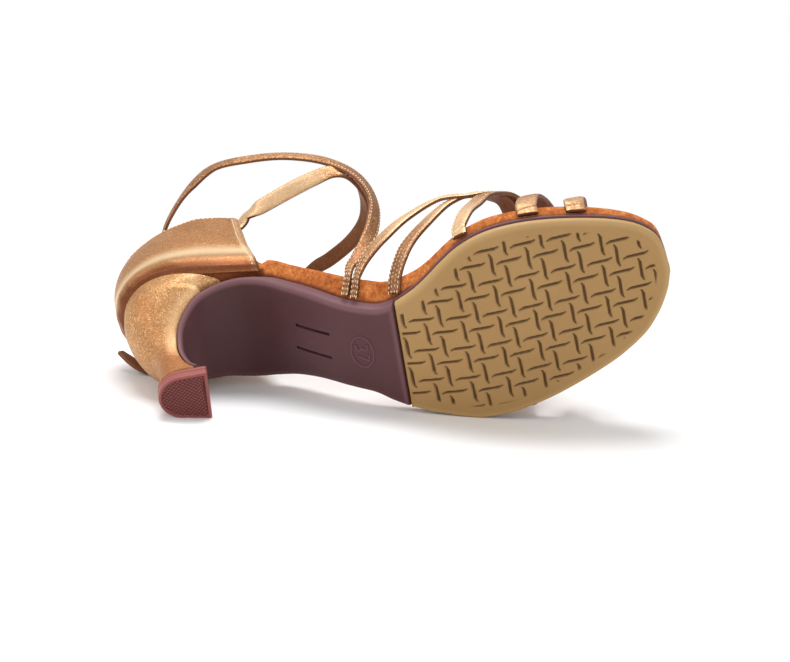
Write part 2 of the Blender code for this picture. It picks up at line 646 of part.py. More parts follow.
def join_to(obj, others):
    for other in others:
        union = obj.modifiers.new("join_" + other.name, "BOOLEAN")
        union.operation = "UNION"
        union.solver = "EXACT"
        union.object = other
        other.hide_render = True
        other.display_type = "WIRE"


toe_rows = strap_base(187.4, 8.0) + TOE_STRAP + strap_base(186.0, 8.0, 0.0, True)[::-1]
toe_strap = ribbon("toe_strap", toe_rows, strap_satin)
second_rows = strap_base(169.0, 8.2) + SECOND_STRAP + strap_base(175.6, 8.2, 0.0, True)[::-1]
second_strap = ribbon("second_strap", second_rows, strap_satin)
vamp_straps = ribbon("vamp_straps", strap_base(112.8, 5.6) + FAN_MIDDLE, strap_satin, 0.0, shoe_parts, True)
front_rows = strap_base(142.2, 6.4) + FAN_FRONT
fan_front = ribbon("fan_front", front_rows, strap_satin, 0.5, cutters, True)
back_rows = strap_base(95.9, 3.1, -0.45) + FAN_BACK
fan_back = ribbon("fan_back", back_rows, strap_satin, -0.45, cutters, True)
join_to(vamp_straps, (fan_front, fan_back))
ankle_straps = ribbon("ankle_straps", strap_base(92.3, 3.0) + ANKLE_OUTER, strap_satin)
ankle_inner = ribbon("ankle_inner", ANKLE_INNER, strap_satin, 0.0, cutters)
join_to(ankle_straps, (ankle_inner,))

# Buckle on the outer side, lying on the strap.
buckle_middle = Vector(BUCKLE_PLACE)
buckle_turn = Matrix.Rotation(BUCKLE_SLOPE, 4, "Y")


def buckle_point(u, v, w):
    local = buckle_turn @ Vector((u, 0.0, v))
    return tuple(buckle_middle + Vector((local.x, w, local.z)))


rings = []
corners = 24
for k in range(corners):
    angle = 2 * pi * k / corners
    c, s = cos(angle), sin(angle)
    u = BUCKLE_LONG / 2 * (abs(c) ** 0.5) * (1 if c >= 0 else -1)
    v = BUCKLE_WIDE / 2 * (abs(s) ** 0.5) * (1 if s >= 0 else -1)
    ring = []
    for j in range(6):
        turn = 2 * pi * j / 6
        r = BUCKLE_WIRE / 2
        ring.append(buckle_point(u + r * cos(turn) * c, v + r * cos(turn) * s, r * sin(turn)))
    rings.append(ring)
points, faces = skin(rings, False)
total = len(rings)
for j in range(6):
    n = (j + 1) % 6
    faces.append(((total - 1) * 6 + j, (total - 1) * 6 + n, n, j))
buckle_frame = part_from("buckle_frame", points, faces, steel)

rings = []
pin_reach = BUCKLE_LONG / 2 - BUCKLE_WIRE / 2 - FIT
for u in (-pin_reach, -pin_reach * 0.5, pin_reach * 0.5, pin_reach):
    ring = []
    for j in range(6):
        turn = 2 * pi * j / 6
        ring.append(buckle_point(u, PIN_WIDE / 2 * cos(turn), PIN_WIDE / 2 * sin(turn)))
    rings.append(ring)
buckle_pin = part_from("buckle_pin", *skin(rings), steel)


def lowest(groups, up):
    """Lowest point of each group of objects, of the sole only its front part."""
    spots = []
    for group in groups:
        found = []
        for obj in group:
            back = BALL_FROM * MM if obj in sole_parts else -1.0
            found += [v.co for v in obj.data.vertices if v.co.x > back]
        spots.append(min(found, key=lambda co: co.dot(up)).copy())
    return spots


# The shoe lies on the heel tip, the outer edge of the ball and the outer side of the upper.
sole_parts = (forefoot_tread, outsole, insole)
supports = ((heel_tip,), sole_parts, (counter, buckle_frame, ankle_inner, buckle_pin))
up = Vector((0.21, -0.95, 0.23)).normalized()
for turn in range(12):
    tip_spot, ball_spot, upper_spot = lowest(supports, up)
    up = (ball_spot - tip_spot).cross(upper_spot - tip_spot).normalized()
    if up.y > 0:
        up = -up
ahead = (Vector((1, 0, 0)) - up * up.x).normalized()
aside = up.cross(ahead)
turned = Matrix((ahead, aside, up)).to_4x4()
solids = [o for o in shoe_parts.objects if o.type == "MESH"]
placed = [turned @ v.co for obj in solids for v in obj.data.vertices]
placed += [turned @ v.co for obj in (fan_front, fan_back, ankle_inner) for v in obj.data.vertices]
low = [min(p[k] for p in placed) for k in range(3)]
high = [max(p[k] for p in placed) for k in range(3)]
shift = Vector((-(low[0] + high[0]) / 2, -(low[1] + high[1]) / 2, -low[2]))
standing.matrix_world = Matrix.Translation(shift) @ turned
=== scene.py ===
import bpy
import bmesh
import numpy as np
from math import cos, sin, pi, radians
from mathutils import Vector, Matrix, noise


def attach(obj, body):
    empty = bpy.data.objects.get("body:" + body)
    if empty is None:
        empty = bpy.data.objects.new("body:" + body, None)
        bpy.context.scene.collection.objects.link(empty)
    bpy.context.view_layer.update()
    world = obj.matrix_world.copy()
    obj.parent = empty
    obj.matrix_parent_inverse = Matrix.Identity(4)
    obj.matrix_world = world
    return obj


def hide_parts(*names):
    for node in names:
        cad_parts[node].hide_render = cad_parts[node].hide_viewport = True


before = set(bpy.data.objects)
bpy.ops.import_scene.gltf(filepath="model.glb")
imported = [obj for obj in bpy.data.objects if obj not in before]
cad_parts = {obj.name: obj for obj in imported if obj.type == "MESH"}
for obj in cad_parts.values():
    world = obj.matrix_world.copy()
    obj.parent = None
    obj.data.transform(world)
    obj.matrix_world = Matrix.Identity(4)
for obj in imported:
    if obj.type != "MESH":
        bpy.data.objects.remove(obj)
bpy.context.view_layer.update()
print("frame loaded")

# The shoe is drawn in millimetres as it stands: x to the toe, y to the outer side, z up.
# These rows turn that onto the floor where it lies, in metres.
lying = (
    (0.97679, 0.20609, -0.05837, -0.10317),
    (0.0, 0.27251, 0.96215, -0.05138),
    (0.21419, -0.93982, 0.26619, 0.00341),
)
turn = np.array([row[:3] for row in lying]) * 0.001
shift = np.array([row[3] for row in lying])


# Smooth lines, rings and meshes

def eased(rows, steps):
    rows = np.array(rows, float)
    last = len(rows) - 1
    out = []
    for i in range(last):
        a, b, c, d = rows[max(i - 1, 0)], rows[i], rows[i + 1], rows[min(i + 2, last)]
        for k in range(steps):
            t = k / steps
            bend = 2 * b + (c - a) * t + (2 * a - 5 * b + 4 * c - d) * t * t
            out.append(0.5 * (bend + (3 * b - a - 3 * c + d) * t ** 3))
    out.append(rows[last])
    return np.array(out)


def smoothStep(low, high, value):
    t = np.clip((value - low) / (high - low), 0, 1)
    return t * t * (3 - 2 * t)


def bell(value, centre, width):
    return np.exp(-((value - centre) / width) ** 2)


def crossings(line, at):
    hits = []
    for (ax, ay), (bx, by) in zip(line, line[1:]):
        if ax != bx and min(ax, bx) <= at <= max(ax, bx):
            hits.append(ay + (by - ay) * (at - ax) / (bx - ax))
    return min(hits), max(hits)


def toFloor(points):
    return np.array(points, float) @ turn.T + shift


def addObject(name, data):
    obj = bpy.data.objects.new(name, data)
    bpy.context.scene.collection.objects.link(obj)
    return obj


def meshFrom(name, points, faces, mats, slots=None, **attributes):
    mesh = bpy.data.meshes.new(name)
    mesh.from_pydata(toFloor(points).tolist(), [], [[int(i) for i in f] for f in faces])
    for mat in mats:
        mesh.materials.append(mat)
    if slots is not None:
        mesh.polygons.foreach_set("material_index", np.array(slots, np.int32))
    for title, values in attributes.items():
        layer = mesh.attributes.new(title, "FLOAT", "POINT")
        layer.data.foreach_set("value", np.array(values, np.float32))
    work = bmesh.new()
    work.from_mesh(mesh)
    bmesh.ops.recalc_face_normals(work, faces=work.faces)
    work.to_mesh(mesh)
    work.free()
    mesh.shade_smooth()
    return addObject(name, mesh)


def tubeFaces(ringCount, count, start=0):
    r = np.arange(ringCount - 1)[:, None] * count
    k = np.arange(count)[None, :]
    n = (k + 1) % count
    quads = np.stack([r + k, r + n, r + count + n, r + count + k], -1).reshape(-1, 4) + start
    return quads.tolist()


def capped(rings, start=0):
    rings = [np.array(r, float) for r in rings]
    count = len(rings[0])
    faces = tubeFaces(len(rings), count, start)
    points = np.vstack(rings + [rings[0].mean(0)[None], rings[-1].mean(0)[None]])
    first, last = start + len(points) - 2, start + len(points) - 1
    top = start + (len(rings) - 1) * count
    for k in range(count):
        n = (k + 1) % count
        faces.append((start + k, start + n, first))
        faces.append((top + k, top + n, last))
    return points, faces


def bakeModifiers(obj):
    graph = bpy.context.evaluated_depsgraph_get()
    shaped = obj.evaluated_get(graph)
    mesh = bpy.data.meshes.new_from_object(shaped, preserve_all_data_layers=True, depsgraph=graph)
    obj.modifiers.clear()
    obj.data = mesh


def settle(obj, slotName, *nodes):
    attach(obj, "root")
    if nodes:
        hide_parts(*nodes)
    print(obj.name, len(obj.data.polygons), "faces")


# Sole line and edges: x, z, inner edge, outer edge, crown, footbed overhang inside and outside
sole = {
    "rows": (
        (220.5, 0, -19, -13, 0, 2, 1.8), (219.5, 0, -25.4, -8, 0, 2, 1.6),
        (217.6, 0, -30.4, -3, 0, 1.9, 1.3), (215, 0, -33.8, 2.2, 0, 1.4, 0.9),
        (210, 0, -37.7, 9.3, 0, 1.2, 0.5), (204, 0, -40.5, 14.6, 0, 1.3, 0.2), (196, 0, -43, 20, 0, 1.6, 0),
        (186, 0, -45.2, 25, 0, 1.9, 0), (176, 0, -46.8, 29.2, 0, 2, 0), (166, 0, -47.6, 32.6, 0, 2, 0),
        (156, 0, -47.2, 34.9, 0, 2, 0), (148, 0.3, -45.5, 35.9, 0, 2, 0),
        (140, 1.2, -41.8, 36.1, 0, 2.1, 0.2), (133, 2.6, -36.2, 35, 0, 2.6, 0.4),
        (126, 4.4, -29.4, 33.3, 0, 3.4, 0.6), (120, 6.2, -24.1, 31.8, 0, 4.6, 0.8),
        (112, 8.8, -18.9, 28.9, 0, 6.2, 1), (106, 11, -16.6, 26.2, 0.5, 7.4, 1.2),
        (100, 13.6, -16.7, 22.9, 1.1, 7.8, 1.4), (94, 16.9, -17.4, 21.6, 1.8, 7.4, 1.4),
        (88, 21, -18.6, 20.8, 2.3, 6.6, 1.4), (79, 28.6, -20.4, 20.2, 2.6, 5.2, 1.4),
        (70, 36.8, -21.2, 21.4, 2.4, 4.6, 1.2), (62, 43.2, -21.9, 23.6, 1.6, 4.6, 0.4),
        (54, 46.3, -22.2, 24.4, 0.9, 0.8, 0.3), (47, 46.3, -21.9, 22.8, 0.4, 0.8, 0.3),
        (41.5, 45.1, -21, 20.8, 0, 0.6, 0.3), (36.5, 42.8, -19.8, 19.4, 0, 0.5, 0.3),
        (32, 38.8, -17, 16.8, 0, 0.5, 0.4), (28.6, 33.5, -13.4, 13.4, 0, 0.5, 0.4),
        (27.5, 28, -10.4, 10.4, 0, 0.5, 0.4), (27.7, 22, -8.6, 8.6, 0, 0.5, 0.4),
        (30, 14.5, -8, 8, 0, 0.5, 0.4), (33.2, 9.2, -8.8, 8.8, 0, 0.5, 0.4),
    ),
    "frontRows": 24,
    "padBack": 112.8,
    "waistFront": 111.8,
    "padThick": 2.2,
    "weltLow": 2.5,
    "waistThick": 3.8,
    "flapThick": 2.0,
}
soleFine = eased(sole["rows"], 24)
front = soleFine[:(sole["frontRows"] - 1) * 24 + 1][::-1]
soleRun = np.gradient(soleFine[:, :2], axis=0)
soleRun /= np.linalg.norm(soleRun, axis=1)[:, None]
soleLift = np.stack([soleRun[:, 1], -soleRun[:, 0]], 1)
frontLift = soleLift[:len(front)][::-1]


def soleAt(x, column):
    return np.interp(x, front[:, 0], front[:, column])


def onSole(x, y, offset):
    lx = np.interp(x, front[:, 0], frontLift[:, 0])
    lz = np.interp(x, front[:, 0], frontLift[:, 1])
    return np.stack([x + lx * offset, y + 0 * x, soleAt(x, 1) + lz * offset], -1)


def crownAt(x, y):
    inner, outer = soleAt(x, 2), soleAt(x, 3)
    share = np.clip(2 * (y - inner) / (outer - inner) - 1, -1, 1)
    return soleAt(x, 4) * (1 - share ** 2)


# Small steps for building shader trees

def linked(tree, value, socket):
    if isinstance(value, bpy.types.NodeSocket):
        tree.links.new(value, socket)
    elif isinstance(value, tuple):
        socket.default_value = (*value, 1.0)
    else:
        socket.default_value = value


def shaderNode(tree, kind, **values):
    node = tree.nodes.new("ShaderNode" + kind)
    for title, value in values.items():
        linked(tree, value, node.inputs[title.replace("_", " ")])
    return node.outputs


def mathNode(tree, operation, a, b):
    node = tree.nodes.new("ShaderNodeMath")
    node.operation = operation
    linked(tree, a, node.inputs[0])
    linked(tree, b, node.inputs[1])
    return node.outputs[0]


def noiseNode(tree, vector, scale, detail, rough):
    return shaderNode(tree, "TexNoise", Vector=vector, Scale=scale, Detail=detail, Roughness=rough)[0]


def rangeNode(tree, value, low, high, toLow=0.0, toHigh=1.0):
    ends = {"From_Min": low, "From_Max": high, "To_Min": toLow, "To_Max": toHigh}
    return shaderNode(tree, "MapRange", Value=value, **ends)[0]


def bumpNode(tree, height, strength, distance, **below):
    return shaderNode(tree, "Bump", Height=height, Strength=strength, Distance=distance, **below)[0]


def mixNode(tree, factor, a, b):
    node = tree.nodes.new("ShaderNodeMix")
    node.data_type = "RGBA"
    for value, socket in ((factor, node.inputs[0]), (a, node.inputs[6]), (b, node.inputs[7])):
        linked(tree, value, socket)
    return node.outputs[2]


def maskNode(tree, title):
    node = tree.nodes.new("ShaderNodeAttribute")
    node.attribute_name = title
    return node.outputs["Fac"]


def openGroup(name, **inputs):
    group = bpy.data.node_groups.new(name, "ShaderNodeTree")
    for title, value in inputs.items():
        kind = "NodeSocketColor" if isinstance(value, tuple) else "NodeSocketFloat"
        linked(group, value, group.interface.new_socket(title, in_out="INPUT", socket_type=kind))
    coords = shaderNode(group, "TexCoord")["Object"]
    return group, group.nodes.new("NodeGroupInput").outputs, coords


outputKinds = {"Colour": "NodeSocketColor", "Roughness": "NodeSocketFloat", "Normal": "NodeSocketVector"}


def closeGroup(group, **outputs):
    for title in outputs:
        group.interface.new_socket(title, in_out="OUTPUT", socket_type=outputKinds[title])
    result = group.nodes.new("NodeGroupOutput")
    for title, value in outputs.items():
        group.links.new(value, result.inputs[title])
    return group


# Woven satin with a metallic thread. Noises have scale, detail and roughness, bumps strength and distance.
weave = {
    "fleckScale": 2300.0,
    "brightFrom": 0.7,
    "darkFrom": 0.6,
    "fine": (1700.0, 3.0, 0.7),
    "broad": (75.0, 3.0, 0.6),
    "broadTone": (0.45, 0.75, 0.0, 0.22),
    "roughTone": (0.3, 0.7, -0.07, 0.07),
    "fineBump": (0.35, 0.00022),
    "folds": (95.0, 2.0, 0.5),
    "foldBump": (0.16, 0.0012),
}


def satinGroup():
    group, given, coords = openGroup(
        "satinWeave", Base=(0.5, 0.3, 0.15), Bright=(0.9, 0.6, 0.35), Dark=(0.25, 0.1, 0.04),
        Fleck=0.4, Rough=0.4)
    fleck = shaderNode(group, "TexVoronoi", Scale=weave["fleckScale"], Vector=coords)
    split = shaderNode(group, "SeparateColor", Color=fleck["Color"])
    fine = noiseNode(group, coords, *weave["fine"])
    broad = noiseNode(group, coords, *weave["broad"])
    amount = given["Fleck"]
    bright = mathNode(group, "MULTIPLY", rangeNode(group, split[0], weave["brightFrom"], 1.0), amount)
    dark = mathNode(group, "MULTIPLY", rangeNode(group, split[1], weave["darkFrom"], 1.0), amount)
    tone = mixNode(group, bright, given["Base"], given["Bright"])
    tone = mixNode(group, dark, tone, given["Dark"])
    tone = mixNode(group, rangeNode(group, broad, *weave["broadTone"]), tone, given["Dark"])
    rough = mathNode(group, "ADD", given["Rough"], rangeNode(group, fine, *weave["roughTone"]))
    height = mathNode(group, "ADD", fine, mathNode(group, "MULTIPLY", split[2], amount))
    normal = bumpNode(group, height, *weave["fineBump"])
    normal = bumpNode(group, noiseNode(group, coords, *weave["folds"]), *weave["foldBump"], Normal=normal)
    return closeGroup(group, Colour=tone, Roughness=rough, Normal=normal)


# Suede nap: mottled colour and a soft normal
nap = {
    "fine": (430.0, 5.0, 0.8),
    "broad": (70.0, 3.0, 0.6),
    "darkTone": (0.5, 0.66, 0.0, 0.85),
    "lightTone": (0.34, 0.48, 0.6, 0.0),
    "broadTone": (0.5, 0.7, 0.0, 0.4),
    "bump": (0.8, 0.0009),
}


def napGroup():
    group, given, coords = openGroup(
        "suedeNap", Base=(0.6, 0.2, 0.05), Light=(0.8, 0.4, 0.2), Dark=(0.3, 0.1, 0.02))
    fine = noiseNode(group, coords, *nap["fine"])
    broad = noiseNode(group, coords, *nap["broad"])
    tone = mixNode(group, rangeNode(group, fine, *nap["darkTone"]), given["Base"], given["Dark"])
    tone = mixNode(group, rangeNode(group, fine, *nap["lightTone"]), tone, given["Light"])
    tone = mixNode(group, rangeNode(group, broad, *nap["broadTone"]), tone, given["Dark"])
    return closeGroup(group, Colour=tone, Normal=bumpNode(group, fine, *nap["bump"]))


# Moulded rubber: two close tones, roughness and a faint normal
rubber = {
    "fine": (900.0, 3.0, 0.6),
    "broad": (32.0, 4.0, 0.55),
    "broadTone": (0.35, 0.7),
    "roughTone": (0.3, 0.7, -0.05, 0.06),
    "bump": (0.1, 0.00012),
}


def rubberGroup():
    group, given, coords = openGroup(
        "mouldedRubber", Base=(0.4, 0.3, 0.1), Second=(0.45, 0.33, 0.12), Rough=0.5)
    fine = noiseNode(group, coords, *rubber["fine"])
    broad = noiseNode(group, coords, *rubber["broad"])
    tone = mixNode(group, rangeNode(group, broad, *rubber["broadTone"]), given["Base"], given["Second"])
    rough = mathNode(group, "ADD", given["Rough"], rangeNode(group, fine, *rubber["roughTone"]))
    return closeGroup(group, Colour=tone, Roughness=rough, Normal=bumpNode(group, fine, *rubber["bump"]))


satinWeave, suedeNap, mouldedRubber = satinGroup(), napGroup(), rubberGroup()


# Masks of painted highlight and painted shade are laid on each mesh by the piece's own sizes: name, strength
# and colour
def newMaterial(name, metallic, gloss, group, *masks, **values):
    mat = bpy.data.materials.new(name)
    mat.use_nodes = True
    tree = mat.node_tree
    sockets = tree.nodes["Principled BSDF"].inputs
    for title, value in (("Metallic", metallic), ("Specular IOR Level", gloss), ("Roughness", 0.9)):
        sockets[title].default_value = value
    node = tree.nodes.new("ShaderNodeGroup")
    node.node_tree = group
    for title, value in values.items():
        linked(tree, value, node.inputs[title])
    for title in ("Normal", "Roughness"):
        if title in node.outputs:
            tree.links.new(node.outputs[title], sockets[title])
    tone = node.outputs["Colour"]
    for title, amount, colour in masks:
        tone = mixNode(tree, mathNode(tree, "MULTIPLY", maskNode(tree, title), amount), tone, colour)
    tree.links.new(tone, sockets["Base Color"])
    return mat


# On the satins the lighter mask colour is painted highlight and the dark mask colour is painted shade
cupSatin = newMaterial(
    "cup satin", 0.62, 0.15, satinWeave,
    ("glow", 0.75, (0.92, 0.70, 0.43)), ("deep", 0.88, (0.13, 0.034, 0.014)),
    Base=(0.45, 0.20, 0.068), Bright=(0.85, 0.55, 0.28), Dark=(0.2, 0.068, 0.02), Fleck=0.5, Rough=0.38)
heelSatin = newMaterial(
    "heel satin", 0.4, 0.15, satinWeave,
    ("glow", 0.5, (0.80, 0.55, 0.30)), ("deep", 0.8, (0.30, 0.095, 0.027)),
    Base=(0.50, 0.255, 0.098), Bright=(0.90, 0.66, 0.40), Dark=(0.22, 0.08, 0.025), Fleck=0.65, Rough=0.47)
strapSatin = newMaterial(
    "strap satin", 0.5, 0.15, satinWeave,
    ("glow", 0.7, (0.88, 0.65, 0.39)), ("deep", 0.85, (0.095, 0.03, 0.013)),
    Base=(0.45, 0.21, 0.085), Bright=(0.90, 0.62, 0.36), Dark=(0.15, 0.05, 0.018), Fleck=0.8, Rough=0.42)
lining = newMaterial(
    "strap lining", 0.0, 0.2, satinWeave,
    Base=(0.21, 0.08, 0.03), Bright=(0.33, 0.14, 0.055), Dark=(0.09, 0.028, 0.01), Fleck=0.5, Rough=0.5)
strapEdge = newMaterial(
    "strap edge", 0.0, 0.2, mouldedRubber, Base=(0.11, 0.035, 0.016), Second=(0.2, 0.08, 0.035), Rough=0.5)
thread = newMaterial(
    "stitch thread", 0.1, 0.4, mouldedRubber, Base=(0.93, 0.75, 0.53), Second=(0.80, 0.58, 0.36), Rough=0.4)
steel = newMaterial(
    "polished steel", 1.0, 0.5, mouldedRubber, Base=(0.62, 0.60, 0.57), Second=(0.55, 0.53, 0.50), Rough=0.2)
# Suede: the dark mask colour is painted shade low on the footbed's side
suede = newMaterial(
    "footbed suede", 0.0, 0.1, suedeNap, ("deep", 0.8, (0.13, 0.028, 0.012)),
    Base=(0.50, 0.15, 0.035), Light=(0.82, 0.36, 0.13), Dark=(0.23, 0.045, 0.01))
sheen = suede.node_tree.nodes["Principled BSDF"].inputs
sheen["Sheen Weight"].default_value = 0.2
sheen["Sheen Tint"].default_value = (1.0, 0.55, 0.3, 1.0)
# Rubbers: the rim colour is painted highlight on edges and walls, the dark mask colour is painted shade in
# hollows and grooves
plum = newMaterial(
    "plum rubber", 0.0, 0.2, mouldedRubber,
    ("rim", 0.7, (0.19, 0.09, 0.10)), ("deep", 0.75, (0.05, 0.018, 0.018)),
    Base=(0.080, 0.031, 0.033), Second=(0.092, 0.038, 0.040), Rough=0.5)
tan = newMaterial(
    "tan tread rubber", 0.0, 0.25, mouldedRubber,
    ("rim", 0.7, (0.47, 0.30, 0.13)), ("deep", 0.92, (0.07, 0.03, 0.006)),
    Base=(0.335, 0.193, 0.069), Second=(0.36, 0.210, 0.078), Rough=0.5)
tipRubber = newMaterial(
    "heel tip rubber", 0.0, 0.25, mouldedRubber,
    ("rim", 0.7, (0.31, 0.095, 0.085)), ("deep", 0.85, (0.055, 0.012, 0.012)),
    Base=(0.20, 0.05, 0.043), Second=(0.225, 0.058, 0.05), Rough=0.48)
print("materials made")


# Tread pad: a fine grid with slanting grooves in a woven layout
tread = {
    "rim": 3.2,
    "round": 1.6,
    "border": 5.8,
    "cell": (14.3, 13.94),
    "cellAt": (166.55, -18.72),
    "across": ((0.0, 0.0), (0.391, 0.434)),
    "along": ((0.470, -0.042), (0.893, 0.527)),
    "length": 10.2,
    "width": 0.56,
    "tail": 2.2,
    "hook": 0.2,
    "slant": radians(-2.5),
    "depth": 0.85,
    "grid": (330, 250),
    "tip": 220.9,
    "nose": (220.5, -16.0, 3.0),
}


def grooveDepth(x, y):
    depth = np.zeros_like(x)
    cs, sn = cos(tread["slant"]), sin(tread["slant"])
    half = tread["length"] / 2
    for offsets, acrossFoot, bend in ((tread["across"], True, 1.0), (tread["along"], False, -1.0)):
        for du, dv in offsets:
            for i in range(-5, 6):
                for j in range(-4, 6):
                    cx = tread["cellAt"][0] + (i + du) * tread["cell"][0]
                    cy = tread["cellAt"][1] + (j + dv) * tread["cell"][1]
                    near = (abs(x - cx) < 7) & (abs(y - cy) < 7)
                    if not near.any():
                        continue
                    dx, dy = x[near] - cx, y[near] - cy
                    px, py = dx * cs + dy * sn, -dx * sn + dy * cs
                    a, b = (py, px) if acrossFoot else (px, py)
                    over = np.clip(abs(a) - (half - tread["tail"]), 0, None)
                    b = b - np.sign(a) * over ** 1.6 * tread["hook"] * bend
                    wide = tread["width"] * (1 - 0.45 * np.clip(over / tread["tail"], 0, 1))
                    end = 1 - smoothStep(half - 0.3, half + 0.15, abs(a))
                    cut = (1 - smoothStep(wide * 0.7, wide * 1.25, abs(b))) * end
                    depth[near] = np.maximum(depth[near], cut * (1 - 0.12 * over))
    return depth


def treadPiece():
    back, tip = sole["padBack"], tread["tip"]
    noseFrom, noseAt, noseWide = tread["nose"]
    t = np.linspace(0, 1, tread["grid"][0])
    xs = back + (tip - back) * (1 - (1 - t) ** 1.3)
    nose = noseWide * np.sqrt(np.clip((tip - xs) / (tip - noseFrom), 0, 1))
    inner = np.where(xs > noseFrom, noseAt - nose, soleAt(xs, 2))
    outer = np.where(xs > noseFrom, noseAt + nose, soleAt(xs, 3))
    shares = np.linspace(0, 1, tread["grid"][1])
    x = np.repeat(xs[:, None], len(shares), 1)
    y = inner[:, None] + (outer - inner)[:, None] * shares[None, :]
    side = np.concatenate([np.stack([xs, inner], 1), np.stack([xs, outer], 1)[::-1]])[::3]
    inside = np.full(x.size, 99.0)
    flat = np.stack([x.ravel(), y.ravel()], 1)
    for p, q in zip(side[:-1], side[1:]):
        run = q - p
        s = np.clip(((flat - p) @ run) / max(run @ run, 1e-9), 0, 1)
        inside = np.minimum(inside, np.linalg.norm(flat - p - s[:, None] * run, axis=1))
    inside = inside.reshape(x.shape)
    r = tread["round"]
    nearEdge = np.minimum(inside, (x - back) * 3 + 0.6)
    rise = r - np.sqrt(np.clip(r * r - np.clip(r - nearEdge, 0, r) ** 2, 0, None))
    cut = grooveDepth(x, y) * smoothStep(tread["border"] - 0.8, tread["border"] + 0.4, inside)
    cut *= smoothStep(0.8, 1.3, x - back)
    bottom = onSole(x, y, rise * 0.9 + cut * tread["depth"])
    # Painted highlight along the pad's rounded edge and on its walls, painted shade in the grooves
    padEdgeHighlight = 1 - smoothStep(0.5, tread["rim"], inside)
    rings, edgeHighlight, deepValues = [], [], []
    thick = sole["padThick"]
    for i in range(len(xs)):
        left, right = rise[i][0] * 0.9, rise[i][-1] * 0.9
        wide = outer[i] - inner[i]
        sides = [(outer[i], right + s * (thick - right)) for s in (0.5, 1.0)]
        sides += [(inner[i] + s * wide, thick) for s in (0.8, 0.5, 0.2)]
        sides += [(inner[i], left + s * (thick - left)) for s in (1.0, 0.5)]
        wall = [onSole(np.array([xs[i]]), np.array([y]), offset) for y, offset in sides]
        rings.append(np.vstack([bottom[i]] + wall))
        edgeHighlight += list(padEdgeHighlight[i]) + [1.0] * len(sides)
        deepValues += list(cut[i]) + [0.0] * len(sides)
    points, faces = capped(rings)
    obj = meshFrom("treadPad", points, faces, [tan], rim=edgeHighlight + [0, 0], deep=deepValues + [0, 0])
    settle(obj, "tan_tread_rubber", "forefoot_tread")


treadPiece()


# Outsole: welt over the pad, thick waist, thin flap down the heel breast
body = {
    "rim": 1.5,
    "weltRim": 0.35,
    "ledge": (0.8, 0.4),
    "lean": (1.0, 0.3),
    "slots": (((73.0, -5.5), (85.6, -4.3)), ((71.7, 5.4), (84.9, 6.9))),
    "slotWide": 1.3,
    "slotDeep": 1.7,
    "ringAt": (97.9, 2.6),
    "ringHalf": (4.0, 7.0),
    "digitHigh": 2.1,
    "digitWide": 1.5,
    "ridge": (0.42, 0.42),
    # shade: painted shade round the middle of the seat; stepLight and flapLight: painted highlight on the
    # rim
    "shade": (57.0, 15.0),
    "seatAt": 50.0,
    "thinning": (40.0, 6.0),
    "leaning": 30.0,
    "stepLight": (0.8, 2.2, 0.75),
    "flapLight": (36.0, 30.0, 0.28),
}


def roundedSection(row, lift, low, high, spreadLow, spreadHigh, rim, crown, across=30):
    x, z, inner, outer = row[:4]
    rim = min(rim, 0.3 * (outer - inner), 0.85 * (high - low))
    left, right = inner - spreadLow[0] + rim, outer + spreadLow[1] - rim
    # mask: painted highlight strongest on the inner rounded edge and wall, weak on the outer ones
    spots, mask = [], []
    for k in range(7):
        angle = pi / 2 * k / 6
        spots.append((left - rim * cos(angle), low + rim - rim * sin(angle)))
        mask.append(1.0)
    for k in range(1, across):
        share = k / across
        y = left + share * (right - left)
        spots.append((y, low - crown * (1 - (2 * share - 1) ** 2)))
        mask.append(float(1 - smoothStep(-0.3, 1.0, y - left)))
    for k in range(7):
        angle = pi / 2 * k / 6
        spots.append((right + rim * sin(angle), low + rim - rim * cos(angle)))
        mask.append(0.25)
    sideIn, sideOut = inner - spreadLow[0], outer + spreadLow[1]
    leanIn, leanOut = spreadHigh[0] - spreadLow[0], spreadHigh[1] - spreadLow[1]
    wall = high - low - rim
    for t in (0.25, 0.5, 0.75):
        spots.append((sideOut + t * leanOut, low + rim + t * wall))
        mask.append(0.2)
    spots += [(sideOut + leanOut - 0.04, high - 0.35), (sideOut + leanOut - 0.35, high)]
    spots += [(sideIn - leanIn + 0.35, high), (sideIn - leanIn + 0.04, high - 0.35)]
    mask += [0.2, 0.2, 0.5, 0.8]
    for t in (0.75, 0.5, 0.25):
        spots.append((sideIn - t * leanIn, low + rim + t * wall))
        mask.append(0.9)
    return [(x + lift[0] * o, y, z + lift[1] * o) for y, o in spots], mask


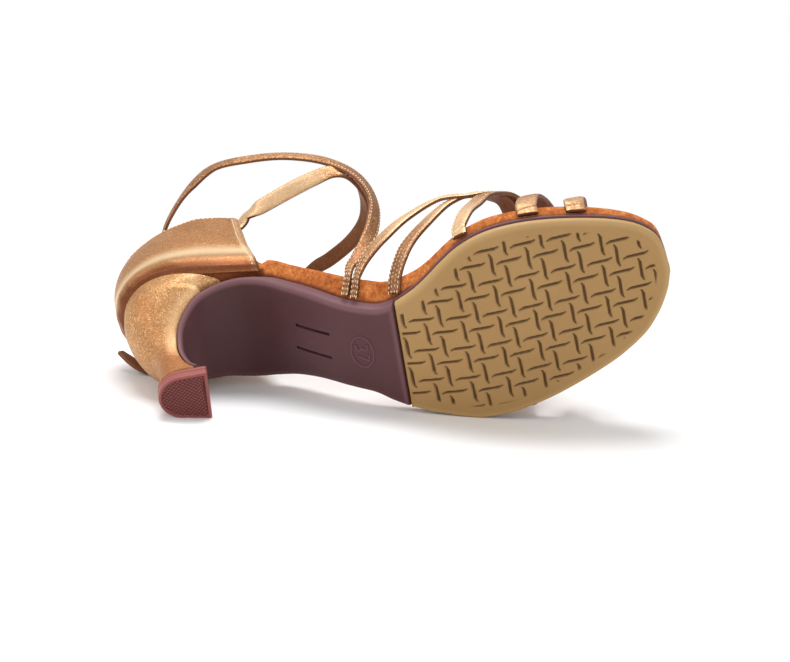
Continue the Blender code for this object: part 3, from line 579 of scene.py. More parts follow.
def outsolePiece():
    rings, edgeHighlight, deepValues = [], [], []
    welt, waist = sole["weltLow"], sole["waistThick"]
    ahead = int((soleFine[:, 0] > sole["waistFront"] + 0.2).sum())
    for i in [*range(0, ahead - 1, 4), ahead - 1]:
        ring, mask = roundedSection(
            soleFine[i], soleLift[i], welt, waist, body["ledge"], body["ledge"], body["weltRim"], 0.0)
        rings.append(ring)
        edgeHighlight += [0.7 * m for m in mask]
        deepValues += [0.0] * len(mask)
    for step in (0.0, 0.5, 1.0):
        x = sole["waistFront"] - step * 0.7
        row = np.array([x] + [soleAt(x, k) for k in range(1, 7)])
        lift = onSole(x, 0.0, 1.0) - onSole(x, 0.0, 0.0)
        low = 0.5 * (1 - np.sqrt(1 - (1 - step) ** 2))
        ring, mask = roundedSection(row, (lift[0], lift[2]), low, waist, (0, 0), body["lean"], 1.2, row[4])
        rings.append(ring)
        edgeHighlight += [max(m, 0.75) for m in mask]
        deepValues += [0.6 if step == 0 else 0.0] * len(mask)
    # Painted highlight on the rim near the waist step and down the flap, painted shade in the seat hollow
    # and on the step face
    thinFrom, thinOver = body["thinning"]
    stepFrom, stepTo, stepLight = body["stepLight"]
    flapFrom, flapTo, flapLight = body["flapLight"]
    for i in range(ahead + 6, len(soleFine), 2):
        row, lift = soleFine[i], soleLift[i]
        share = float(np.clip((row[1] - thinFrom) / thinOver, 0, 1)) if row[0] > body["seatAt"] else 1.0
        thick = waist + share * (sole["flapThick"] - waist)
        fade = float(np.clip((row[0] - body["seatAt"]) / body["leaning"], 0, 1))
        wide = (body["lean"][0] * fade, body["lean"][1] * fade)
        rim = min(body["rim"], 0.75 * thick)
        ring, mask = roundedSection(row, lift, 0.0, thick, (0, 0), wide, rim, row[4])
        behind = sole["waistFront"] - row[0]
        nearStep = float(1 - smoothStep(stepFrom, stepTo, behind)) if row[0] > 100 else 0.0
        down = float(smoothStep(flapFrom, flapTo, row[0])) if row[1] < 43 else 0.0
        rings.append(ring)
        edgeHighlight += [max(m, stepLight * nearStep, flapLight * down) for m in mask]
        middle = float(bell(row[0], *body["shade"])) if row[1] > 25 else 0.0
        deepValues += [0.8 * middle * (1 - min(1, 3 * m)) for m in mask]
    points, faces = capped(rings)
    obj = meshFrom("outsoleBody", points, faces, [plum], rim=edgeHighlight + [1, 1], deep=deepValues + [0, 0])
    for ends in body["slots"]:
        spots = []
        for x, y in ends:
            floorZ = float(soleAt(x, 1) - crownAt(x, y))
            for wide in (-body["slotWide"] / 2, body["slotWide"] / 2):
                spots += [(x, y + wide, floorZ - 3.0), (x, y + wide, floorZ + body["slotDeep"])]
        sides = [(0, 1, 3, 2), (4, 5, 7, 6), (0, 1, 5, 4), (2, 3, 7, 6), (0, 2, 6, 4), (1, 3, 7, 5)]
        cutter = meshFrom("slotCutter", spots, sides, [strapEdge])
        cut = obj.modifiers.new("slot", "BOOLEAN")
        cut.object = cutter
        cut.operation = "DIFFERENCE"
        cut.solver = "EXACT"
        bakeModifiers(obj)
        bpy.data.objects.remove(cutter)
    obj.data.set_sharp_from_angle(angle=radians(50))
    settle(obj, "plum_sole_rubber", "outsole")


outsolePiece()


# Raised oval with a plain size number, moulded on the waist
def markPiece():
    cx, cy = body["ringAt"]
    high, wide = body["digitHigh"], body["digitWide"]
    angles = np.linspace(0, 2 * pi, 49)[:-1]
    oval = np.stack([np.cos(angles), np.sin(angles)], 1) * body["ringHalf"]
    bowls = []
    for centre, start, stop in ((0.5, 2.6, -1.4), (-0.5, 1.4, -2.6)):
        bow = np.linspace(start, stop, 12)
        bowls.append(np.stack([high * (centre + 0.5 * np.sin(bow)), wide * 0.9 * np.cos(bow)], 1))
    three = np.vstack(bowls)
    seven = np.array([(high, -wide), (high, 0.0), (high, wide), (0.0, 0.2 * wide), (-high, -0.4 * wide)])
    lines = ((oval, True), (three + (0.0, -2.3), False), (eased(seven, 4) + (0.0, 2.4), False))
    points, faces = [], []
    half, tall = body["ridge"]
    section = ((-1.0, -0.1), (-0.7, 0.7), (0.0, 1.0), (0.7, 0.7), (1.0, -0.1))
    for line, closed in lines:
        x, y = cx + line[:, 0], cy + line[:, 1]
        run = np.roll(line, -1, 0) - np.roll(line, 1, 0) if closed else np.gradient(line, axis=0)
        run /= np.linalg.norm(run, axis=1)[:, None]
        ringPoints = []
        for u, v in section:
            sx, sy = x + u * half * run[:, 1], y - u * half * run[:, 0]
            ringPoints.append(onSole(sx, sy, -v * tall - crownAt(sx, sy)))
        rows = np.stack(ringPoints, 1)
        start = sum(len(p) for p in points)
        points.append(rows.reshape(-1, 3))
        faces += tubeFaces(len(rows), len(section), start)
        if closed:
            last = start + (len(rows) - 1) * len(section)
            for k in range(len(section)):
                n = (k + 1) % len(section)
                faces.append((last + k, last + n, start + n, start + k))
    allPoints = np.vstack(points)
    blank = np.zeros(len(allPoints))
    # The raised oval and number get painted highlight
    obj = meshFrom("sizeMark", allPoints, faces, [plum], rim=blank + 0.45, deep=blank)
    settle(obj, "plum_sole_rubber")


markPiece()


# Heel cup shape, followed by the heel and by the seat of the footbed.
# levels: share of the height, back, half width, half width and x of the front. edges: x, top, bottom.
# Each mask has its place, its width and its strength; stripLight and bandLight are painted highlight,
# seamDark, foldDark and lipDark painted shade.
cup = {
    "outer": 0.82,
    "skew": 0.18,
    "wall": 1.8,
    "levels": (
        (0.00, 3.4, 27, 24.8, 63), (0.10, 1.9, 27.9, 25.4, 61.9), (0.30, 0.4, 28.3, 26, 59.8),
        (0.50, -0.2, 28, 25.8, 58), (0.70, 0.2, 26.9, 24.9, 57), (0.86, 1.4, 25.6, 24, 56.4),
        (1.00, 2.9, 24.4, 23.4, 56),
    ),
    "edges": (
        (-2, 91.4, 57.5), (6, 92.6, 57.4), (14, 94.2, 57), (22, 97.8, 55.7), (32, 102.8, 53.2),
        (38, 105, 51.8), (42, 104.6, 50.9), (50, 102.4, 49.6), (58, 98.6, 48.8), (64, 95.6, 47.6),
    ),
    "strip": (3.2, 0.4),
    "bulge": (1.3, 0.15, 0.075),
    "tuck": (1.5, 0.055),
    "pleats": (19, 0.3, (0.38, 0.12), (0.09, 0.075)),
    "pull": (0.1, (0.2, 0.1), (0.45, 0.2)),
    "stripLight": (2.6, 3.2, 0.35),
    "seamDark": (3.35, 0.25, 0.7),
    "bandLight": (0.27, 0.09, 0.95),
    "foldDark": (0.05, 0.07, 1.1),
    "lipDark": (0.02, 0.4),
    "runs": ((0.0, 0.1, 16), (0.11, 0.93, 62), (0.94, 1.0, 9)),
    "stitch": (2.0, 1.45, 0.5),
    "stitchShare": 0.962,
}
cupLevels = eased(cup["levels"], 8)
cupEdges = eased(cup["edges"], 8)


def cupOutline(share, inset, side=16, count=67):
    back, half, frontHalf, frontX = (
        float(np.interp(share, cupLevels[:, 0], cupLevels[:, k])) for k in (1, 2, 3, 4))
    back, half, frontHalf = back + inset, half - inset, frontHalf - inset
    middle = back + half * 1.02
    t = np.arange(side) / side
    wide = frontHalf + (half - frontHalf) * (2 * t - t * t)
    sideX = frontX + (middle - frontX) * t
    angle = np.linspace(-pi / 2, pi / 2, count)
    y = half * np.sin(angle) * np.where(angle > 0, cup["outer"], 1.0)
    x = middle - (middle - back) * np.cos(angle) + cup["skew"] * y * np.cos(angle)
    near = np.stack([sideX, -wide], 1)
    far = np.stack([sideX, wide * cup["outer"]], 1)[::-1]
    return np.vstack([near, np.stack([x, y], 1), far])


def cupZ(x, share):
    high, low = (np.interp(x, cupEdges[:, 0], cupEdges[:, k]) for k in (1, 2))
    return low + share * (high - low)


def cupSkinLine(share, lift=0.0):
    line = cupOutline(share, 0.0)
    run = np.gradient(line, axis=0)
    out = np.stack([-run[:, 1], run[:, 0]], 1)
    out /= np.linalg.norm(out, axis=1)[:, None]
    out *= np.sign(((line - (30.0, 0.0)) * out).sum(1))[:, None]
    steps = np.linalg.norm(np.diff(line, axis=0), axis=1)
    away = np.concatenate([[0], np.cumsum(steps)])
    edge = np.minimum(away, away[-1] - away)
    k = np.arange(len(line)) / len(line)
    stripWide, stripHigh = cup["strip"]
    strip = 1 - smoothStep(stripWide - 0.45, stripWide, edge)
    push = stripHigh * strip * smoothStep(0.0, 0.6, edge)
    bulge, bulgeAt, bulgeWide = cup["bulge"]
    backward = smoothStep(0.22, 0.5, k)
    push += bulge * (1 - 0.5 * backward) * bell(share, bulgeAt, bulgeWide)
    tuck, tuckReach = cup["tuck"]
    push -= tuck * (1 - smoothStep(0.0, tuckReach, share))
    count, pleatDeep, along, up = cup["pleats"]
    creased = bell(k, *along) * bell(share, *up)
    push += pleatDeep * np.sin(k * count * 2 * pi + 1.6 * np.sin(k * 23)) * creased
    pullDeep, along, up = cup["pull"]
    push += pullDeep * (np.sin(share * 26 + 9 * k) * bell(k, *along) * bell(share, *up)) + lift
    return line + out * push[:, None], edge, k


def cupPiece():
    levels = np.concatenate([np.linspace(*run) for run in cup["runs"]])
    wall = cup["wall"]
    rings, glow, deep = [], [], []
    for share in levels:
        roll = max(0.0, (share - 0.972) / 0.028)
        line, edge, k = cupSkinLine(share, -wall * 0.5 * (1 - np.sqrt(max(0.0, 1 - roll * roll))))
        rings.append(np.column_stack([line, cupZ(line[:, 0], share)]))
        stripFrom, stripTo, stripLight = cup["stripLight"]
        seamAt, seamWide, seamDark = cup["seamDark"]
        bandAt, bandWide, bandLight = cup["bandLight"]
        foldAt, foldWide, foldDark = cup["foldDark"]
        lipTo, lipDark = cup["lipDark"]
        # Painted highlight on a band low on the cup and on the front strip, painted shade in the fold, along
        # the strip's edge and at the lower lip
        bandHighlight = bandLight * bell(share, bandAt, bandWide) * (1 - smoothStep(0.42, 0.62, k))
        glow += list(np.clip(bandHighlight + stripLight * (1 - smoothStep(stripFrom, stripTo, edge)), 0, 1))
        foldShade = foldDark * bell(share, foldAt, foldWide) * (1 - smoothStep(0.45, 0.65, k))
        lipShade = lipDark * (1 - smoothStep(0.0, lipTo, share))
        deep += list(np.clip(foldShade + seamDark * bell(edge, seamAt, seamWide) + lipShade, 0, 1))
    for share in levels[::-4]:
        line = cupOutline(share, wall * (0.55 if share > 0.99 else 1.0))
        rings.append(np.column_stack([line, cupZ(line[:, 0], share)]))
        glow += [0.0] * len(line)
        deep += [0.0] * len(line)
    count, total = len(rings[0]), len(rings)
    faces, slots = [], []
    for r in range(total):
        s = (r + 1) % total
        for k in range(count - 1):
            faces.append((r * count + k, r * count + k + 1, s * count + k + 1, s * count + k))
            slots.append(0 if r < len(levels) - 1 else 1)
    for end in (0, count - 1):
        faces.append([r * count + end for r in range(total)])
        slots.append(0)
    obj = meshFrom("heelCup", np.vstack(rings), faces, [cupSatin, lining], slots, glow=glow, deep=deep)
    settle(obj, "bronze_satin", "heel_counter")


cupPiece()


# Footbed: padded suede edge from the toe to the cup. thick: x, thickness. seat: x, z, thickness.
bed = {
    "thick": ((62.0, 5.4), (85.0, 6.4), (112.0, 5.8), (150.0, 5.2), (221.0, 4.8)),
    "low": 4.1,
    "rim": 0.8,
    "gap": 0.3,
    "seatFront": 61.0,
    "seatInset": 0.25,
    "wobble": (0.17, 0.14),
    "seat": (
        (64, 47.6, 5.5), (63.4, 48.1, 5.6), (60, 50.5, 7.7), (56, 50.5, 7.8), (50, 50.4, 6.4),
        (44, 50.9, 5.3), (37, 52, 5.2), (29, 54.1, 5.1), (21, 56.2, 5), (14, 57.3, 5), (9.5, 57.6, 5),
        (6.5, 57.6, 5),
    ),
}
bedTable = np.array(bed["thick"])


def bedThick(x):
    return float(np.interp(x, bedTable[:, 0], bedTable[:, 1]))


def bedTuck(x):
    return 0.5 + float(np.clip((x - 50.0) / 30.0, 0, 1)) * (1.0 - float(smoothStep(118.0, 122.0, x)))


def bedSection(x, z, inner, outer, lift, low, high, tuck, over):
    r = min(1.1, 0.3 * (outer - inner))
    spots = [(outer - r, low), (outer - 0.3 * r, low + 0.2 * r), (outer, low + r)]
    topIn, topOut, lowIn = inner - over[0], outer + over[1], inner - tuck
    for t in (0.2, 0.4, 0.6, 0.8):
        spots.append((outer + t * over[1] + 0.25 * sin(pi * t), low + r + t * (high - low - 2 * r)))
    for k in range(6):
        angle = pi / 2 * k / 5
        spots.append((topOut - r + r * cos(angle), high - r + r * sin(angle)))
    for k in range(1, 12):
        spots.append((topOut - r + k / 12 * (topIn - topOut + 2 * r), high))
    for k in range(6):
        angle = pi / 2 * k / 5
        spots.append((topIn + r - r * sin(angle), high - r + r * cos(angle)))
    for t in (0.8, 0.6, 0.4, 0.2):
        y = lowIn - t * (over[0] - tuck) - 0.25 * sin(pi * t)
        spots.append((y, low + r + t * (high - low - 2 * r)))
    spots += [(lowIn, low + r), (lowIn + 0.3 * r, low + 0.2 * r), (lowIn + r, low)]
    # dark: painted shade on the lower third of the side, down to the sole
    dark = [float(1 - smoothStep(0.0, 0.33, (o - low) / (high - low))) for y, o in spots]
    return [(x + lift[0] * o, y, z + lift[1] * o) for y, o in spots], dark


def bedPiece():
    rings, deep = [], []
    for i in range(0, (sole["frontRows"] - 1) * 24 + 1, 4):
        row = soleFine[i]
        top = bed["low"] + bedThick(row[0])
        ring, dark = bedSection(*row[:4], soleLift[i], bed["low"], top, bedTuck(row[0]), (row[5], row[6]))
        rings.append(ring)
        deep += dark
    for x, z, thick in eased(bed["seat"], 4):
        line = cupOutline(0.0, bed["seatInset"] if x > bed["seatFront"] else cup["wall"] + bed["gap"])
        near, far = crossings(line, min(x, line[0][0]))
        ring, dark = bedSection(x, z, near, far, (0, 1), 0.0, thick, 0.0, (0, 0))
        rings.append(ring)
        deep += dark
    points, faces = capped(rings)
    density, height = bed["wobble"]
    points[:, 2] += np.array([noise.noise(Vector(p) * density) for p in points.tolist()]) * height
    obj = meshFrom("footbed", points, faces, [suede], deep=deep + [0, 0])
    settle(obj, "orange_brown_suede", "insole")


bedPiece()


# Heel block covered in satin: z, back, half width, half width at the breast
heel = {
    "rows": (
        (6.3, 15.3, 9.6, 9.2), (9, 15.8, 9.1, 8.7), (13, 16.1, 8.8, 8.3), (17, 16.2, 8.7, 8.1),
        (22, 15.8, 9.1, 8.5), (27, 14, 10.4, 9.9), (32, 10.8, 13.2, 12.2), (36.5, 8, 16.8, 14.9),
        (40.5, 6.2, 20.2, 17.4), (43.5, 5.1, 22.8, 19.2), (46, 4.5, 24.6, 20.6), (48.4, 4.1, 25.7, 21.6),
    ),
    "rim": (3.9, 26.5, 22.4),
    "front": 46.0,
    # edgeLight: painted highlight along the breast edge; neckDark and bandDark: painted shade at the neck
    # and in a slanting band
    "edgeLight": (2.0, 2.6, 0.8),
    "neckDark": (16.0, 33.0, 0.75),
    "bandDark": (17.0, 4.5, 0.45),
}


def heelRing(z, back, frontX, half, edgeHalf, share=0.0, slant=0.0, flare=0.0, count=48):
    middle = back + min(half * 1.05, 0.62 * (frontX - back))
    outer = 1.0 + share * (cup["outer"] - 1.0)
    angle = np.linspace(-pi / 2, pi / 2, count + 1)
    y = half * np.sin(angle) * np.where(angle > 0, outer, 1.0)
    x = middle - (middle - back) * np.cos(angle) + share * cup["skew"] * y * np.cos(angle)
    t = np.linspace(0.1, 1.0, 12)
    sideX, sideY = middle + t * (frontX - middle), half + (edgeHalf - half) * t * t
    sideY[-1] -= 0.4
    far = sideY * outer + flare * t
    across = np.array([0.66, 0.33, 0.0, -0.33, -0.66]) * edgeHalf
    ringX = np.concatenate([x, sideX + slant * far, frontX + slant * across, (sideX - slant * sideY)[::-1]])
    ringY = np.concatenate([y, far, np.where(across > 0, across * outer, across), -sideY[::-1]])
    return np.column_stack([ringX, ringY, np.full(len(ringX), z)])


def heelPiece():
    breast = []
    for row, lift in zip(soleFine, soleLift):
        inside = sole["flapThick"] + 0.3
        height = row[1] + lift[1] * inside
        if row[0] < 60.0 and height < heel["front"]:
            breast.append((height, row[0] + lift[0] * inside))
    breast = np.array(sorted(breast))
    rings = []
    for z, back, half, edgeHalf in eased(heel["rows"], 8):
        frontX = float(np.interp(z, breast[:, 0], breast[:, 1]))
        rings.append(heelRing(z, back, frontX, half, edgeHalf, min(max((z - 22.0) / 24.0, 0.0), 1.0)))
    back, half, edgeHalf = heel["rim"]
    top = heelRing(0.0, back, heel["front"], half, edgeHalf, 1.0)
    top[:, 2] = cupZ(top[:, 0], 0.0) - 0.35
    below = rings[-1]
    for t in (0.2, 0.4, 0.6, 0.8, 0.93, 1.0):
        rings.append(below + (top - below) * t)
    points, faces = capped(rings)
    x, y, z = points.T
    edge = np.interp(z, breast[:, 0], breast[:, 1]) - x
    # Painted highlight along the breast edge, painted shade towards the neck and in a slanting band
    lightAt, lightWide, light = heel["edgeLight"]
    neckFrom, neckTo, neckDark = heel["neckDark"]
    bandAt, bandWide, bandDark = heel["bandDark"]
    glow = light * bell(edge, lightAt, lightWide) * (z > 20) * (y < 6)
    deep = neckDark * (1 - smoothStep(neckFrom, neckTo, z))
    deep += bandDark * bell(x + 0.25 * (z - 30), bandAt, bandWide) * smoothStep(22, 34, z)
    obj = meshFrom("heelBlock", points, faces, [heelSatin], glow=glow, deep=np.clip(deep, 0, 1))
    settle(obj, "bronze_satin", "heel")


heelPiece()


# Rubber tip: z and inset of its outline, and the cross-hatch under it
tip = {
    "rows": (
        (0.45, 1.3), (0.05, 1.15), (0, 0.7), (0.12, 0.35), (0.35, 0.1), (0.8, 0), (3.2, 0), (3.5, 0.05),
        (3.65, 0.3), (3.9, 0.3), (4.05, 0.08), (4.4, 0.02), (5.6, 0.08), (5.9, 0.2), (6, 0.45),
    ),
    "back": 15.4,
    "front": 35.4,
    "half": 9.3,
    "flare": 2.4,
    "slant": -0.085,
    "hatch": 1.495,
    "hatchDeep": 0.3,
    "grid": 120,
}


def tipRing(z, inset):
    half = tip["half"] - inset
    back, front = tip["back"] + inset, tip["front"] - inset
    return heelRing(z, back, front, half, half, 0.0, tip["slant"], tip["flare"])


def tipPiece():
    rings = [tipRing(z, inset) for z, inset in tip["rows"]]
    points, faces = capped(rings)
    count = len(rings[0])
    rim, deep = [], []
    # Painted highlight on the walls, painted shade in the groove round the tip and in the cross-hatch
    # grooves
    for z, inset in tip["rows"]:
        rim += [1.0 if z > 0.3 else 0.35] * count
        deep += [0.75 if inset == 0.3 else 0.0] * count
    closed = np.vstack([rings[0], rings[0][:1]])[:, :2]
    n = tip["grid"]
    sheet, hatchShade = [], []
    for x in np.linspace(closed[:, 0].min() + 0.02, closed[:, 0].max() - 0.02, n):
        ys = np.linspace(*crossings(closed, x), n)
        u, v = (x * 0.8 + ys) / tip["hatch"], (x * 0.8 - ys) / tip["hatch"]
        cut = 1 - smoothStep(0.07, 0.24, np.minimum(abs(u % 1 - 0.5), abs(v % 1 - 0.5)))
        low = np.column_stack([np.full(n, x), ys, 0.06 + cut * tip["hatchDeep"]])
        sheet.append(np.vstack([low, [(x, ys[-1], 0.8), (x, ys[0], 0.8)]]))
        hatchShade += list(cut) + [0.0, 0.0]
    more, moreFaces = capped(sheet, len(points))
    rim += [0.35, 1.0] + [0.0] * len(more)
    deep += [0.0, 0.0] + hatchShade + [0.0, 0.0]
    points, faces = np.vstack([points, more]), faces + moreFaces
    obj = meshFrom("heelTipCap", points, faces, [tipRubber], rim=rim, deep=deep)
    settle(obj, "heel_tip_rubber", "heel_tip")


tipPiece()


# Straps: x, y, z of the middle, outward direction x, y, z, and the width where it isn't the usual one.
# base and end give x, width and side of the footbed where the strap comes out.
straps = {
    "thick": 1.4,
    "stitch": (2.0, 1.4, 0.34),
    "toeStrap": {
        "nodes": ("toe_strap",), "base": (187.4, 8.0, False), "end": (186.0, 8.0, True),
        "width": 8,
        "rows": (
            (188.4, -46.8, 13.6, 0, -1, 0.3), (189.6, -43.6, 17.6, 0, -0.8, 0.6, 8.2),
            (190.5, -37.8, 22.6, 0, -0.6, 0.8, 8.2), (191.4, -26, 29.2, 0, -0.3, 1),
            (191, -12, 32.5, 0, 0, 1), (190, 3, 31, 0, 0.3, 1), (188.5, 13.6, 25.5, 0, 0.7, 0.7),
            (187.2, 21, 18, 0, 0.9, 0.4), (186.4, 24.9, 12.6, 0.3, 0.9, 0.2),
        ),
    },
    "secondStrap": {
        "nodes": ("second_strap",), "base": (169.0, 8.2, False), "end": (175.6, 8.2, True),
        "width": 8.2,
        "rows": (
            (170.9, -49.8, 15.8, 0, -1, 0.3), (172.5, -47.4, 21.4, 0, -0.9, 0.5),
            (174.8, -43, 27.6, 0, -0.8, 0.6), (178, -35.5, 35.4, 0, -0.6, 0.8),
            (181.4, -25.5, 41, 0, -0.3, 1), (183.6, -12, 44, 0, 0, 1), (183.4, 2, 42, 0, 0.3, 1),
            (181, 14, 35, 0, 0.7, 0.7), (178, 24, 24, 0, 0.9, 0.4), (176, 29.6, 12.8, 0.3, 0.9, 0.2),
        ),
    },
    "fanFront": {
        "base": (142.2, 6.4, False), "lift": 0.5,
        "width": 6.4,
        "rows": (
            (146.6, -46.2, 20, -0.2, -1, 0.1), (151.3, -43, 32, 0, -1, 0.2), (156.5, -40, 43, 0, -0.9, 0.4),
            (162, -36, 51, 0.1, -0.8, 0.5), (168, -30, 58.5, 0.2, -0.7, 0.7),
            (173.5, -20, 64.2, 0.2, -0.4, 0.9), (176.2, -6, 66.6, 0.2, 0, 1),
            (174.8, 9, 61.6, 0.1, 0.4, 0.9), (170, 22, 48.5, 0.1, 0.8, 0.6), (164, 31.5, 31, 0, 0.9, 0.3),
            (160.2, 34.6, 15, 0, 1, 0.1), (159.6, 35.1, 6.2, 0, 1, 0),
        ),
    },
    "fanMiddle": {
        "nodes": ("vamp_straps",), "base": (112.8, 5.6, False),
        "width": 6.2,
        "rows": (
            (118.4, -29.4, 23.6, -0.2, -1, 0, 5.8), (122.9, -32, 31.4, -0.1, -1, 0.1, 6),
            (130.7, -35, 38.9, -0.2, -1, 0.2), (141.6, -36.6, 49.6, -0.3, -0.9, 0.3),
            (152.7, -36.4, 54.3, -0.2, -0.9, 0.5), (161, -32.8, 56.4, 0, -0.8, 0.6),
            (167.5, -24.5, 63.2, 0.1, -0.6, 0.8), (171.6, -10, 66.8, 0.1, -0.1, 1),
            (171.2, 5, 63.8, 0.1, 0.3, 1), (166.8, 20, 53, 0.1, 0.7, 0.6), (160.4, 31.5, 34.5, 0, 0.9, 0.3),
            (156.2, 35.6, 17, 0, 1, 0.1), (155.4, 36.1, 6.2, 0, 1, 0),
        ),
    },
    "fanBack": {
        "base": (95.9, 3.1, False), "lift": -0.45,
        "width": 6.2,
        "rows": (
            (103.2, -28.2, 28.6, -0.2, -1, -0.1, 4.2), (107.2, -30.4, 33.6, -0.1, -1, 0, 5.2),
            (113.4, -33, 39, -0.1, -1, 0.1, 6), (123.9, -35.2, 48, -0.2, -0.9, 0.2),
            (139, -37.8, 54, -0.2, -0.9, 0.4), (151.7, -38.2, 51.2, -0.1, -0.9, 0.5),
            (160, -35.6, 54, 0, -0.8, 0.6), (166.2, -28, 59, 0, -0.6, 0.8),
            (168.4, -14, 64.6, 0.1, -0.2, 1), (167.6, 2, 63.2, 0.1, 0.3, 1), (163, 18, 54, 0.1, 0.7, 0.6),
            (156.4, 31, 36, 0, 0.9, 0.3), (152.2, 36.2, 18, 0, 1, 0.1), (151.2, 36.8, 6.4, 0, 1, 0),
        ),
    },
    "ankleOuter": {
        "nodes": ("ankle_straps",), "base": (92.3, 3.0, False),
        "width": 6.4,
        "rows": (
            (98.8, -26.8, 31.4, 0, -1, -0.2, 4), (102.4, -27.4, 37, 0.2, -1, -0.2, 5.2),
            (107.6, -30, 45, 0.4, -0.8, -0.3, 6), (111, -32.4, 53, 0.6, -0.6, -0.4, 6.2),
            (113.1, -34.6, 65.6, 0.8, -0.5, -0.4), (111.3, -36.8, 80.6, 0.7, -0.6, -0.3),
            (105.7, -38.5, 94, 0.5, -0.8, -0.1), (95.1, -39.5, 107, 0.3, -1, 0),
            (80.7, -40, 116, 0.1, -1, 0.1), (65.7, -39, 121.8, -0.1, -1, 0.1),
            (50, -36, 126.8, -0.2, -1, 0.1), (38.8, -31, 123, -0.7, -0.6, -0.15),
            (29.6, -25, 115.2, -0.9, -0.4, -0.05), (23.4, -17, 110.5, -0.95, -0.25, 0.1),
            (22.4, -7, 110.5, -0.8, 0, 0.6), (22, 3, 107.5, -0.6, 0.3, 0.7),
            (22.4, 12, 102, -0.4, 0.7, 0.6), (23, 17, 94, -0.2, 1, 0.1), (24, 18.6, 84, -0.1, 1, 0),
        ),
    },
    "ankleInner": {
        "width": 6.4,
        "rows": (
            (47, -20.2, 92, 0, -1, 0), (52.6, -20.1, 95.6, 0, -1, 0), (56.6, -20.2, 98.8, 0, -1, 0.1, 6),
            (60, -22.8, 100.4, 0.1, -1, -0.05, 6), (63.4, -25.2, 99.6, 0.1, -0.9, -0.35, 6.2),
            (67.4, -27.2, 98.8, 0, -0.7, -0.7, 6.6), (80.3, -32, 99, 0, -0.6, -0.8, 6.8),
            (91, -36.2, 97.2, 0.1, -0.7, -0.7, 6.6), (99, -38.2, 96, 0.3, -0.8, -0.4),
            (105.4, -36.2, 93.8, 0.7, -0.7, -0.1), (109.4, -29.4, 90.4, 0.9, -0.2, 0.2),
            (110.2, -21, 91.6, 0.9, 0.1, 0.5), (107.9, -13, 92.6, 0.8, 0.2, 0.6),
            (101.1, -5, 93.8, 0.5, 0.5, 0.7), (91.4, 3, 97.5, 0.3, 0.6, 0.8), (84.4, 8, 101, 0.2, 0.7, 0.7),
            (73, 16.4, 100.6, 0.2, 0.9, 0.5), (63, 22.6, 95, 0.1, 1, 0.2), (54, 25.4, 88, 0, 1, 0),
            (44, 25.6, 80.8, 0, 1, 0), (32, 25.2, 73, 0, 1, 0), (20, 24.6, 66.6, 0, 1, -0.1, 6.2),
            (11.8, 23.4, 64.6, -0.2, 1, -0.1, 6), (6, 21.2, 65.4, -0.4, 0.9, -0.1, 6),
            (1.4, 18.4, 69, -0.4, 0.9, -0.1, 5.6), (-3, 16, 74.2, -0.5, 0.9, -0.1, 3),
        ),
    },
}


def bedSpot(x, share, outer):
    rise = bed["low"] + bed["rim"] + share * (bedThick(x) - 1.25 * bed["rim"])
    tuck = bedTuck(x)
    if outer:
        y = soleAt(x, 3) + share * soleAt(x, 6)
    else:
        y = soleAt(x, 2) - tuck - share * (soleAt(x, 5) - tuck)
    return Vector(onSole(np.float64(x), y, rise).tolist())


def baseRows(x, width, outer, lift):
    rows = []
    for share in (0.0, 0.5, 1.0):
        run = bedSpot(x + 1.0, share, outer) - bedSpot(x - 1.0, share, outer)
        out = run.cross(bedSpot(x, 1.0, outer) - bedSpot(x, 0.0, outer)).normalized()
        if (out.y > 0) != outer:
            out = -out
        middle = bedSpot(x, share, outer) + out * (1.6 * bed["gap"] + straps["thick"] / 2 - lift)
        rows.append((*middle, *out, width))
    return rows


# Distances round the strap: cushioned face, rolled edges, flat lining
def strapProfile():
    profile = [(u, 0.5 + 0.3 * (1 - (u / 0.93) ** 4), 0) for u in np.linspace(-0.93, 0.93, 15)]
    profile += [(0.985, 0.36, 0), (1.0, 0.1, 1), (0.985, -0.22, 1), (0.93, -0.48, 2)]
    profile += [(u, -0.5, 2) for u in np.linspace(0.6, -0.6, 4)]
    return profile + [(-0.93, -0.48, 2), (-0.985, -0.22, 1), (-1.0, 0.1, 1), (-0.985, 0.36, 0)]


# Painted highlight and painted shade on the satin at a place on each strap: painted shade near the sole and
# on the tail
def strapTone(name, x, y, z):
    if name in ("toeStrap", "secondStrap"):
        return 0.3 * float(bell(z, 10.0, 6.0)), 0.15
    if name == "ankleInner":
        dark = 1.0 if x < 16.0 and y > 10.0 else 0.45 * float(smoothStep(100.0, 110.0, x))
        return 0.75 * float(smoothStep(104.0, 88.0, x)) * (y < -18.0), dark
    soleShade = float(np.clip((46.0 - z) / 26.0, 0, 1)) if y < 0 else 0.0
    # Painted shade on the ankle strap, stronger lower down at the front
    if name == "ankleOuter":
        limbShade = 0.55 * float(smoothStep(116.0, 84.0, z)) if x > 60.0 else 0.35
        return 0.0, max(0.8 * soleShade, limbShade)
    if name == "fanFront":
        return 0.75 * float(smoothStep(44.0, 18.0, z)) * (y < 0), 0.4 * float(smoothStep(34.0, 56.0, z))
    return 0.85 * float(bell(z, 50.0, 12.0)), 0.8 * soleShade


strapLines = {}


